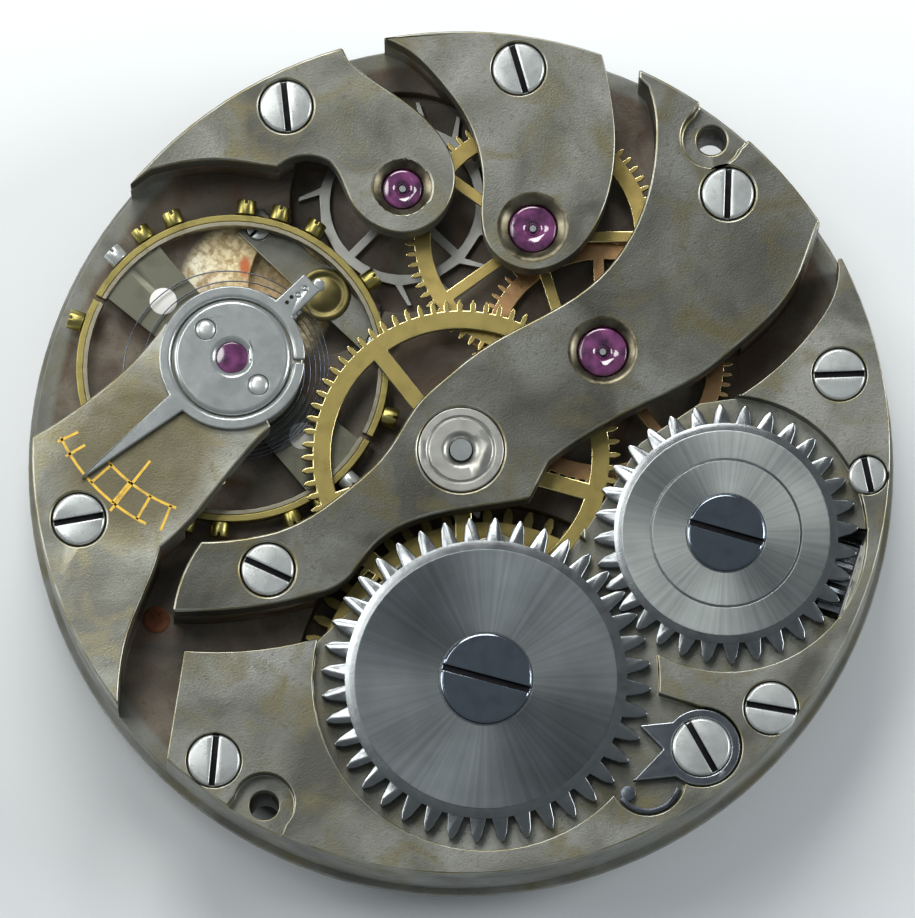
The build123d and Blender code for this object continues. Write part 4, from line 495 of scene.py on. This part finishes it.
# %% [markdown]
# ## Ruby and paper
# Ruby is a clear stone that looks almost black where it is deep. Cloudy noise mixes the deep and
# the pale red, and a glossy coat with a strong specular gives the hard highlights. The paper has
# painted shade towards the viewer, and a painted shadow, nearly black, where the movement covers
# it, so that the case-screw holes look deep.

# %% Ruby and paper
ruby, ruby_shader = finish("ruby", (0.20, 0.02, 0.12), 0.0, 0.08)
ruby_shader.inputs["Coat Weight"].default_value = 1.0
ruby_shader.inputs["Coat Roughness"].default_value = 0.10
ruby_shader.inputs["Specular IOR Level"].default_value = 1.0
wire(ruby, ramp(ruby, noise(ruby, object_place(ruby), 0.45, 4.0),
                [(0.36, (0.05, 0.008, 0.045)), (0.64, (0.20, 0.045, 0.16))]),
     ruby_shader, "Base Color")

shadow_r = 12.6                         # the paper is in deep shade where the movement lies on it
shadow_edge = 0.5                       # that shade fades over this width
fade_low, fade_high = -15.0, 2.0        # between these, towards the viewer, the paper darkens
paper, paper_shader = finish("pale_paper", (0.80, 0.84, 0.86), 0.0, 0.8)
paper_tone = ramp(paper, noise(paper, object_place(paper), 60.0, 2.0),
                  [(0.3, (0.90, 0.935, 0.95)), (0.7, (0.93, 0.96, 0.975))])
paper_axes = paper.node_tree.nodes.new("ShaderNodeSeparateXYZ")
wire(paper, object_place(paper), paper_axes, "Vector")
# Painted shade: the paper darkens towards the viewer.
painted_shade_towards_viewer = spread(paper, paper_axes.outputs["Y"], 0.30, 0.0, fade_low * mm, fade_high * mm)
paper_tone = blend_colours(paper, painted_shade_towards_viewer, paper_tone, (0.36, 0.40, 0.43))
# Painted shadow: the paper is nearly black under the movement.
painted_movement_shadow = spread(paper, reach(paper, object_place(paper, scale=flat)), 1.0, 0.0,
                 (shadow_r - shadow_edge) * mm, shadow_r * mm)
wire(paper, blend_colours(paper, painted_movement_shadow, paper_tone, (0.05, 0.052, 0.055)), paper_shader,
     "Base Color")
floor.data.materials.append(paper)

# %% [markdown]
# ## Copies with softer edges
# A CAD edge is perfectly sharp and never catches the light. On the real movement every bridge
# has a bevel, every screw head a rounded rim. Each main piece is therefore a copy of its CAD node:
# its loose triangles are joined, flat areas become whole faces again, and a Bevel modifier cuts
# the sharp edges. The new faces may take a brighter finish. Weighted normals then keep each
# broad face flat, so that only the bevel itself is shaded as a curve.

# %% Copy, bevel and stand in
weld = 1e-7                             # metres; CAD corners that are one point
flat_angle = math.radians(0.5)
sharp_angle = math.radians(38)
smooth_angle = math.radians(40)
flat_weight = 80                        # how much more a broad face counts in its normals


def edit(piece):
    """Edit mode, with the whole piece selected."""
    deselect()
    piece.select_set(True)
    bpy.context.view_layer.objects.active = piece
    bpy.ops.object.mode_set(mode="EDIT")
    bpy.ops.mesh.select_mode(type="FACE")
    bpy.ops.mesh.select_all(action="SELECT")


def leave_edit():
    """Back to object mode."""
    bpy.ops.object.mode_set(mode="OBJECT")


def clear_choice(piece, kind):
    """Nothing of the piece is selected, and the next choice is of corners, edges or faces."""
    edit(piece)
    bpy.ops.mesh.select_mode(type=kind)
    bpy.ops.mesh.select_all(action="DESELECT")
    leave_edit()


def make_whole(piece):
    """Joins loose triangles, and makes each flat area one face."""
    edit(piece)
    bpy.ops.mesh.remove_doubles(threshold=weld)
    bpy.ops.mesh.dissolve_limited(angle_limit=flat_angle)
    leave_edit()


def copy_of(node, name):
    """A copy of a CAD node with whole faces in place of its loose triangles."""
    piece = bpy.data.objects.new(name, nodes[node].data.copy())
    bpy.context.scene.collection.objects.link(piece)
    piece.data.materials.clear()
    make_whole(piece)
    return piece


def bevel_some(piece, chosen, width, rounds=3):
    """Bevels only the edges whose two ends are chosen, with a width of their own."""
    clear_choice(piece, "EDGE")
    for edge in piece.data.edges:
        edge.select = all(chosen(piece.data.vertices[end].co / mm) for end in edge.vertices)
    bpy.ops.object.mode_set(mode="EDIT")
    bpy.ops.mesh.bevel(offset=width * mm, segments=rounds, affect="EDGES")
    leave_edit()


def soften(piece, width, rounds=2, edge_slot=-1):
    """Bevels the sharp edges, and shades the piece smooth with its broad faces flat."""
    modifier = piece.modifiers.new("soft_edge", "BEVEL")
    modifier.width = width * mm
    modifier.segments = rounds
    modifier.limit_method = "ANGLE"
    modifier.angle_limit = sharp_angle
    modifier.use_clamp_overlap = False
    modifier.material = edge_slot
    deselect()
    piece.select_set(True)
    bpy.context.view_layer.objects.active = piece
    bpy.ops.object.modifier_apply(modifier=modifier.name)
    bpy.ops.object.shade_smooth_by_angle(angle=smooth_angle)
    flats = piece.modifiers.new("flat_faces_stay_flat", "WEIGHTED_NORMAL")
    flats.keep_sharp = True
    flats.weight = flat_weight
    bpy.ops.object.modifier_apply(modifier=flats.name)


def stand_in(piece, *replaced, body=None):
    """The piece moves with a body, and stands in place of the CAD nodes that are named."""
    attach(piece, body or body_of(nodes[replaced[0]])[0])
    if replaced:
        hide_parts(*replaced)
    return piece


# %% [markdown]
# ## Bridges, cocks and the plate
# The bridges have a polished bevel all round. The wall of a jewel's sink is turned and polished,
# and the faces that lie below the top and near a jewel's axis get a dark mottled finish of their
# own: painted shade for the deep cup.

# %% Dress the bridges
bridge_top = 3.40
sink_reach = 1.35                       # radius round a jewel in which faces belong to its sink
sink_low = bridge_top - 0.6             # and the heights between which they lie
sink_high = bridge_top - 0.02


def paint(piece, slot, chosen):
    """Gives the chosen faces one of the piece's finishes, and counts them."""
    count = 0
    for face in piece.data.polygons:
        if chosen(face):
            face.material_index = slot
            count += 1
    return count


def in_a_sink(face):
    """True for the cone and the floor of a jewel's sink."""
    x, y, z = (value / mm for value in face.center)
    near = min(math.dist((x, y), axis) for axis in (third, fourth, escape))
    return near < sink_reach and sink_low < z < sink_high


for node, bevel in (("barrel_bridge", 0.04), ("train_bridge", 0.08), ("fourth_cock", 0.05),
                    ("escape_cock", 0.07), ("balance_cock", 0.07), ("pallet_bridge", 0.03)):
    bridge = copy_of(node, node + "_dressed")
    for material in (bridge_nickel_with_painted_light[node], bright_edge, sink_painted_shade):
        bridge.data.materials.append(material)
    soften(bridge, bevel, edge_slot=1)
    sunk = paint(bridge, 2, in_a_sink) if node != "pallet_bridge" else 0
    stand_in(bridge, node)
    print(node, len(bridge.data.polygons), "faces,", sunk, "in sinks")

plate = copy_of("main_plate", "main_plate_dressed")
plate.data.materials.append(plate_finish)
soften(plate, 0.04)
stand_in(plate, "main_plate")
print("plate", len(plate.data.polygons), "faces")

# %% [markdown]
# ## Screws
# A watch screw has a mirror-polished flat head with a rounded rim and a deep slot. The slot reads
# as a dark line with a bright edge, so its walls and its floor are painted nearly black, as
# painted shade, while the bevels on both sides of it stay polished.

# %% Dress the screws
slot_top, slot_low = 0.03, 0.17         # how far below the head's top the slot's faces lie
rim_share = 0.90                        # faces farther out than this share are the rim
click_y = -6.0                          # the click's screw lies below this, the crown's above


def islands(piece):
    """The separate solids of a piece, each as a list of faces."""
    owner = list(range(len(piece.data.vertices)))

    def root(vertex):
        while owner[vertex] != vertex:
            owner[vertex] = owner[owner[vertex]]
            vertex = owner[vertex]
        return vertex

    for face in piece.data.polygons:
        first = root(face.vertices[0])
        for vertex in face.vertices:
            owner[root(vertex)] = first
    groups = {}
    for face in piece.data.polygons:
        groups.setdefault(root(face.vertices[0]), []).append(face)
    return list(groups.values())


def box_of(piece, faces):
    """The lowest and the highest corner of the box round some faces, in millimetres."""
    corners = [piece.data.vertices[v].co / mm for face in faces for v in face.vertices]
    return [Vector([pick(corner[axis] for corner in corners) for axis in range(3)])
            for pick in (min, max)]


def shade_slots(piece, slot):
    """Gives the slot in the top of each head its painted shade, and counts its faces."""
    count = 0
    for faces in islands(piece):
        low, high = box_of(piece, faces)
        middle = (low + high) / 2
        for face in faces:
            centre = face.center / mm
            from_middle = math.dist(centre[:2], middle[:2])
            if (slot_top < high.z - centre.z < slot_low and
                    from_middle < rim_share * (high.x - middle.x)):
                face.material_index = slot
                count += 1
    return count


for node, bevel, metal in (("bridge_screws", 0.035, screw_steel_painted_sheen),
                           ("ratchet_screw", 0.045, steel_painted_dark_reflection),
                           ("winding_screws", 0.04, steel_painted_dark_reflection),
                           ("setting_lever_screw", 0.03, screw_steel_painted_sheen),
                           ("small_screws", 0.015, screw_steel_painted_sheen)):
    screws = copy_of(node, node + "_polished")
    screws.data.materials.append(metal)
    screws.data.materials.append(shadow_steel)
    soften(screws, bevel, rounds=3)
    print(node, shade_slots(screws, 1), "slot faces")
    if node == "winding_screws":
        screws.data.materials.append(screw_steel_painted_sheen)
        paint(screws, 2, lambda face: face.material_index == 0 and face.center.y < click_y * mm)
    stand_in(screws, node)

# %% [markdown]
# ## Turned pieces
# Rings, rivets and pins are round. Each starts as a short cylinder whose top face is inset again
# and again, and raised or sunk a little each time, as a lathe would cut it ring by ring.


# %% A helper for turned pieces
def turned(name, place, radius, low, high, rings, sides=64):
    """A round piece. Each ring is (how far inwards, how far up), in millimetres."""
    deselect()
    bpy.ops.mesh.primitive_cylinder_add(
        vertices=sides, radius=radius * mm, depth=(high - low) * mm,
        location=(place[0] * mm, place[1] * mm, (low + high) / 2 * mm))
    piece = bpy.context.active_object
    piece.name = name
    bpy.ops.object.transform_apply(location=True, rotation=False, scale=False)
    clear_choice(piece, "FACE")
    max(piece.data.polygons, key=lambda face: face.normal.z).select = True
    bpy.ops.object.mode_set(mode="EDIT")
    for inwards, up in rings:
        bpy.ops.mesh.inset(thickness=inwards * mm, depth=up * mm)
    leave_edit()
    bpy.ops.object.shade_smooth_by_angle(angle=smooth_angle)
    return piece


def joined(pieces, name):
    """Several pieces as one."""
    deselect()
    for piece in pieces:
        piece.select_set(True)
    bpy.context.view_layer.objects.active = pieces[0]
    bpy.ops.object.join()
    pieces[0].name = name
    return pieces[0]


# %% [markdown]
# ## Winding wheels and click
# The ratchet wheel and the crown wheel are steel, brushed round their centres. The ratchet
# wheel's steel is a darker copy of the crown wheel's, painted shade for the dark that it mirrors.
# A broad chamfer starts inside the teeth and runs out over them, so the row of teeth on the far
# side is bright and the row on the near side is dark. A turned cone fills the roots as far as the
# chamfer does.

# %% Dress the winding wheels
tooth_drop = 0.20                       # how much lower a tooth's tip lies than its root
cone_depth = 0.22                       # the cone reaches this far down between the teeth
cone_gap = 0.006                        # its inner edge stays this far under the wheel's top


def dress_winding_wheel(node, centre, root_r, cone_r, tip_r, top, material):
    """Cuts the top at the teeth's roots and slopes the tops of the teeth outwards."""
    wheel = copy_of(node, node + "_finished")
    wheel.data.materials.append(material)
    wheel.data.materials.append(tooth_steel)
    clear_choice(wheel, "VERT")
    for vertex in wheel.data.vertices:
        corner = vertex.co / mm
        vertex.select = (abs(corner.z - top) < close and
                         abs(math.dist(corner[:2], centre) - root_r) < close)
    bpy.ops.object.mode_set(mode="EDIT")
    bpy.ops.mesh.vert_connect()
    leave_edit()
    for vertex in wheel.data.vertices:
        corner = vertex.co / mm
        outwards = (math.dist(corner[:2], centre) - root_r) / (tip_r - root_r)
        if abs(corner.z - top) < close and outwards > 0:
            vertex.co.z -= tooth_drop * min(1, outwards) * mm
    teeth = paint(wheel, 1, lambda face: math.dist((face.center / mm)[:2], centre) >
                  root_r + close)
    soften(wheel, 0.035)
    cone_width = cone_r - root_r
    cone_drop = tooth_drop * cone_width / (tip_r - root_r)
    cone = turned(node + "_cone", centre, cone_r, top - cone_depth, top - cone_drop,
                  [(cone_width, cone_drop - cone_gap)], 120)
    cone.data.materials.append(tooth_steel)
    wheel = joined([wheel, cone], node + "_finished")
    stand_in(wheel, node)
    print(node, len(wheel.data.polygons), "faces,", teeth, "on the teeth")


dress_winding_wheel("ratchet_wheel", barrel, 4.16, 4.36, 5.10, 3.44, ratchet_steel_painted_shade)
dress_winding_wheel("crown_wheel", crown, 3.32, 3.47, 4.09, 3.40, crown_steel)

# %% [markdown]
# The other steel pieces only get small bevels. The click is dark, with a lighter polished bevel
# round its edge, so it has a second finish for the new faces.

# %% Dress the other steel work
for node, bevel, material in (("crown_wheel_core", 0.03, crown_steel),
                              ("click", 0.05, click_steel),
                              ("click_spring", 0.02, click_steel),
                              ("centre_bushings", 0.04, ring_steel),
                              ("escape_wheel", 0.015, ring_steel),
                              ("pallet_fork", 0.015, steel)):
    piece = copy_of(node, node + "_finished")
    piece.data.materials.append(material)
    piece.data.materials.append(dark_steel)
    soften(piece, bevel, edge_slot=1 if node == "click" else -1)
    stand_in(piece, node)
    print(node, len(piece.data.polygons), "faces")

# %% [markdown]
# ## Regulator and end cap
# The regulator's ring and the cap inside it are the brightest steel of the movement, partly
# through painted reflection: their steel is partly diffuse and light. Both have a broad bevel
# along the gap between them. The cap's shallow dish is levelled here, because the polish on the
# real one runs flat up to its bevel.

# %% Regulator and end cap
cap_top, dish_floor, dish_r = 3.66, 3.61, 1.46
cap_outer_r, ring_top, ring_inner_r = 1.84, 3.62, 1.88
cap_hole_r = 0.60


def from_balance(corner):
    """How far a corner is from the balance's axis, in millimetres."""
    return math.dist(corner[:2], balance)


def on_circle(height, radius):
    """A test: whether a corner lies on that circle round the balance's axis."""
    return lambda corner: (abs(corner.z - height) < close and
                           abs(from_balance(corner) - radius) < close)


cap = copy_of("endstone_cap", "endstone_cap_polished")
raised = 0
for vertex in cap.data.vertices:
    corner = vertex.co / mm
    if abs(corner.z - dish_floor) < close and from_balance(corner) < dish_r:
        vertex.co.z = cap_top * mm
        raised += 1
make_whole(cap)
bevel_some(cap, on_circle(cap_top, cap_outer_r), 0.17)
bevel_some(cap, on_circle(cap_top, cap_hole_r), 0.085)

regulator = copy_of("regulator", "regulator_polished")
bevel_some(regulator, on_circle(ring_top, ring_inner_r), 0.13)
for piece, node, bevel in ((cap, "endstone_cap", 0.02), (regulator, "regulator", 0.05)):
    piece.data.materials.append(steel)
    soften(piece, bevel)
    stand_in(piece, node)
print("corners of the dish raised:", raised)

# %% [markdown]
# ## Wheels and balance
# The train wheels are brass and copper-coloured, each another tone, with bright bevels. The
# balance has a grey arm, a darker ring inside its tarnished brass rim, and brass screws. A
# cream-coloured disc sits on its arm.

# %% Dress the brass work
disc_low = 1.845                        # faces of the balance above this are the polished disc
rim_from = 4.45                         # the inner rim starts here


def on_the_rim(piece, face):
    """True for the steel ring inside the brass rim, all of whose corners lie far out."""
    return min(from_balance(piece.data.vertices[v].co / mm) for v in face.vertices) > rim_from


for node, bevel, material, second, slot in (
        ("centre_wheel", 0.03, brass, bright_brass, 1),
        ("third_wheel", 0.02, copper, bright_brass, 1),
        ("fourth_wheel", 0.02, wheel_brass, bright_brass, 1),
        ("balance_rim", 0.03, rim_brass, bright_brass, -1),
        ("balance_screws", 0.03, screw_brass, bright_brass, -1),
        ("timing_screws", 0.03, screw_steel_painted_sheen, bright_brass, -1),
        ("balance_wheel", 0.02, balance_steel, cream_metal, -1)):
    piece = copy_of(node, node + "_finished")
    piece.data.materials.append(material)
    piece.data.materials.append(second)
    soften(piece, bevel, edge_slot=slot)
    if node == "balance_wheel":
        piece.data.materials.append(rim_steel)
        print("rim faces", paint(piece, 2, lambda face: on_the_rim(piece, face)),
              "disc faces", paint(piece, 1, lambda face: face.center.z > disc_low * mm and
                                  not on_the_rim(piece, face)))
    stand_in(piece, node)
    print(node, len(piece.data.polygons), "faces")

# %% [markdown]
# ## Jewels
# A hole jewel is a domed ruby disc with a cup for oil round its hole. Its rounded rim catches the
# panels as bright crescents, so the bevel here is broad and has several segments.

# %% Jewels
for node, bevel in (("train_jewels", 0.09), ("pallet_jewels", 0.03), ("balance_jewels", 0.05)):
    stones = copy_of(node, node + "_ruby")
    stones.data.materials.append(ruby)
    soften(stones, bevel, rounds=4)
    stand_in(stones, node)
    print(node, len(stones.data.polygons), "faces")

# %% [markdown]
# ## The cap's two screws
# The screws of the end cap have small domed heads without a visible slot, so two domes are turned
# in their places. The third screw of that CAD node holds the hairspring's stud and stays a copy.

# %% Domed screws
screws = copy_of("cock_screws", "cock_screws_polished")
screws.data.materials.append(screw_steel_painted_sheen)
cap_screw_places = []
for faces in islands(screws):
    low, high = box_of(screws, faces)
    middle = (low + high) / 2
    in_the_cap = from_balance(middle) < cap_outer_r
    for face in faces:
        face.select = in_the_cap
    if in_the_cap:
        cap_screw_places.append(middle[:2])
bpy.ops.object.mode_set(mode="EDIT")
bpy.ops.mesh.delete(type="FACE")
leave_edit()
soften(screws, 0.02)
domes = [turned("cap_screw", place, 0.31, 3.40, 3.60,
                [(0.02, 0.035), (0.04, 0.03), (0.06, 0.02), (0.08, 0.01)], 40)
         for place in cap_screw_places]
for dome in domes:
    dome.data.materials.append(screw_steel_painted_sheen)
screws = joined([screws, *domes], "cock_screws_polished")
stand_in(screws, "cock_screws")
print("domed screws at", [(round(x, 2), round(y, 2)) for x, y in cap_screw_places])

# %% [markdown]
# ## Hairspring
# The hairspring is a thin blued ribbon on edge, coiled many times. A curve is the natural way:
# its points follow a spiral whose last turn passes between the curb pins and swings out to the
# stud, and the curve's own depth makes the ribbon. The CAD wire is rounder and has fewer turns.

# %% Hairspring
spring_z = 2.00
spring_turns = 15
spring_in_r = 0.55
lean, lean_angle = 0.30, -40.0          # the middle coils lie this far to the lower right
curb_r, curb_angle = 2.99, 44.0
stud_r, stud_angle = 3.55, 248.0
opening = 1.25                          # above 1, the coils lie farther apart towards the outside
ribbon_half_height, ribbon_half_width = 0.045, 0.014
steps_per_turn = 60

coil = []
for count in range(spring_turns * steps_per_turn + 1):
    share = count / (spring_turns * steps_per_turn)
    angle = curb_angle - 360 * spring_turns * (1 - share)
    drift = lean * math.sin(math.pi * share ** 2) * math.cos(math.radians(angle - lean_angle))
    coil.append((spring_in_r + (curb_r - spring_in_r) * share ** opening + drift, angle))
swing_steps = round((stud_angle - curb_angle) / 360 * steps_per_turn)
for count in range(1, swing_steps + 1):
    share = count / swing_steps
    coil.append((curb_r + (stud_r - curb_r) * share ** 2 * (3 - 2 * share),
                 curb_angle + (stud_angle - curb_angle) * share))

ribbon_curve = bpy.data.curves.new("hairspring_line", "CURVE")
ribbon_curve.dimensions = "3D"
ribbon_curve.twist_mode = "Z_UP"
ribbon_curve.extrude = ribbon_half_height * mm
ribbon_curve.bevel_depth = ribbon_half_width * mm
ribbon_curve.bevel_resolution = 1
ribbon_curve.use_fill_caps = True
line = ribbon_curve.splines.new("POLY")
line.points.add(len(coil) - 1)
for point, (radius, angle) in zip(line.points, coil):
    point.co = ((balance[0] + radius * math.cos(math.radians(angle))) * mm,
                (balance[1] + radius * math.sin(math.radians(angle))) * mm, spring_z * mm, 1)
ribbon = bpy.data.objects.new("hairspring_ribbon", ribbon_curve)
bpy.context.scene.collection.objects.link(ribbon)
deselect()
ribbon.select_set(True)
bpy.context.view_layer.objects.active = ribbon
bpy.ops.object.convert(target="MESH")
ribbon = bpy.context.active_object
ribbon.data.materials.append(spring_steel)
stand_in(ribbon, "hairspring")
print("hairspring", len(ribbon.data.polygons), "faces")

# %% [markdown]
# ## Scale marks on the balance cock
# The cock carries a gilt scale for the regulator's pointer: arcs and a row of short lines. Each
# arc is a small upright square spun round the balance's axis, and each line is a bar that points
# away from that axis.

# %% Scale marks
mark_width = 0.085
mark_low, mark_high = bridge_top - 0.03, bridge_top + 0.008
arc_step = 2                            # degrees between two squares of an arc
looks_ahead = 0.9                       # a bar's end face points along the arc at least so well
centre_of_balance = Vector((balance[0], balance[1], 0)) * mm


def radial_bar(name, inner_r, outer_r, angle, width=mark_width):
    """A short bar that points away from the balance's axis, between two radii."""
    deselect()
    bpy.ops.mesh.primitive_cube_add(size=1, location=(0, 0, 0))
    piece = bpy.context.active_object
    piece.name = name
    edit(piece)
    bpy.ops.transform.resize(value=((outer_r - inner_r) * mm, width * mm,
                                    (mark_high - mark_low) * mm))
    bpy.ops.transform.translate(value=((inner_r + outer_r) / 2 * mm, 0, 0))
    leave_edit()
    piece.rotation_euler = (0, 0, math.radians(angle))
    piece.location = (balance[0] * mm, balance[1] * mm, (mark_low + mark_high) / 2 * mm)
    bpy.ops.object.transform_apply(location=True, rotation=True, scale=True)
    return piece


def arc(name, radius, start, end):
    """An upright square spun round the balance's axis. A spin by a plus angle runs clockwise."""
    piece = radial_bar(name, radius - mark_width / 2, radius + mark_width / 2, start, 0.01)
    ahead = Vector((-math.sin(math.radians(start)), math.cos(math.radians(start)), 0))
    for face in piece.data.polygons:
        face.select = face.normal.dot(ahead) < looks_ahead
    bpy.ops.object.mode_set(mode="EDIT")
    bpy.ops.mesh.delete(type="FACE")
    bpy.ops.mesh.select_all(action="SELECT")
    bpy.ops.mesh.spin(steps=round((end - start) / arc_step), angle=math.radians(start - end),
                      center=centre_of_balance, axis=(0, 0, 1))
    bpy.ops.mesh.select_all(action="SELECT")
    bpy.ops.mesh.remove_doubles(threshold=weld)
    bpy.ops.mesh.normals_make_consistent(inside=False)
    bpy.ops.mesh.select_all(action="DESELECT")
    bpy.ops.mesh.select_mode(type="EDGE")
    bpy.ops.mesh.select_non_manifold()
    leave_edit()
    print(name, "open edges:", sum(edge.select for edge in piece.data.edges))
    return piece


marks = [arc("scale_arc", 5.02, 220, 250), arc("scale_arc", 5.85, 205, 243)]
for angle in (222, 231, 240, 248):
    marks.append(radial_bar("scale_line", 5.0, 5.86, angle))
marks.append(radial_bar("scale_line", 4.1, 6.1, 232))
for angle in (206, 211):
    marks.append(radial_bar("scale_line", 5.3, 6.0, angle))
scale = joined(marks, "scale_marks")
scale.data.materials.clear()
scale.data.materials.append(old_gilt)
stand_in(scale, body="movement")
print("scale", len(scale.data.polygons), "faces")

# %% [markdown]
# ## Small turned details
# A brass boss with a steel pin is the lever's bearing, two rivets on the regulator's short arm
# are painted nearly black, as painted shade like that of holes, and a rusty pin stands almost
# flush in the floor of the plate at the lower left.


# %% Small turned details
def plate_height(x, y):
    """The height of the plate at a place, in millimetres."""
    hit, place, _, _ = plate.ray_cast(Vector((x * mm, y * mm, 1)), Vector((0, 0, -1)))
    return place.z / mm if hit else 0


pallet = (-4.450, 5.606)
boss_place = (-4.28, 5.31)
rivet_places = (-5.40, 4.61), (-5.26, 4.78)
pin_place = (-9.47, -4.96)
pin_rise = 0.03                         # the rusty pin stands this far out of the plate

boss = turned("pallet_boss", boss_place, 0.84, 1.37, 1.44,
              [(0.04, 0.03), (0.13, 0.0), (0.05, -0.04), (0.10, 0.0), (0.05, 0.03)])
boss.data.materials.append(dull_brass)
stand_in(boss, body="movement")
bearing = turned("pallet_bearing", pallet, 0.20, 1.44, 1.485, [(0.03, 0.015), (0.07, 0.005)], 32)
bearing.data.materials.append(steel)
stand_in(bearing, body="movement")

rivets = [turned("regulator_rivets", place, 0.065, 3.58, 3.623, [(0.02, 0.002)], 24)
          for place in rivet_places]
rivets = joined(rivets, "regulator_rivets")
rivets.data.materials.clear()
# Painted shade: the rivets are nearly black, like holes.
rivets.data.materials.append(shadow_steel)
stand_in(rivets, body="regulator")

pin_low = plate_height(*pin_place)
pin = turned("rusty_pin", pin_place, 0.42, pin_low - 0.05, pin_low + pin_rise,
             [(0.04, 0.01), (0.1, 0.0), (0.1, -0.01)])
pin.data.materials.append(rust)
stand_in(pin, body="movement")
print("pin stands at", round(pin_low, 2))

# %% [markdown]
# ## Finishes for the other CAD nodes
# The remaining CAD pieces already have the right shape, so they stay and only get their finish.

# %% Finish the rest
node_finish = {
    nickel: ("setting_cover_plate", "lower_endstone_cap"),
    steel: ("balance_staff", "roller", "hairspring_stud", "third_pinion", "fourth_pinion",
            "escape_pinion", "centre_pinion", "pallet_arbor", "cannon_pinion", "barrel_arbor"),
    dark_steel: ("winding_pinion", "sliding_pinion", "setting_lever", "yoke", "setting_wheel",
                 "mainspring", "yoke_spring"),
    brass: ("hour_wheel", "minute_wheel", "barrel_drum", "barrel_cover", "hairspring_collet"),
    ruby: ("pallet_stones", "impulse_jewel"),
}
for material, names in node_finish.items():
    for name in names:
        slots = nodes[name].data.materials
        slots.clear()
        slots.append(material)
print("nodes with a finish:", sum(len(names) for names in node_finish.values()))
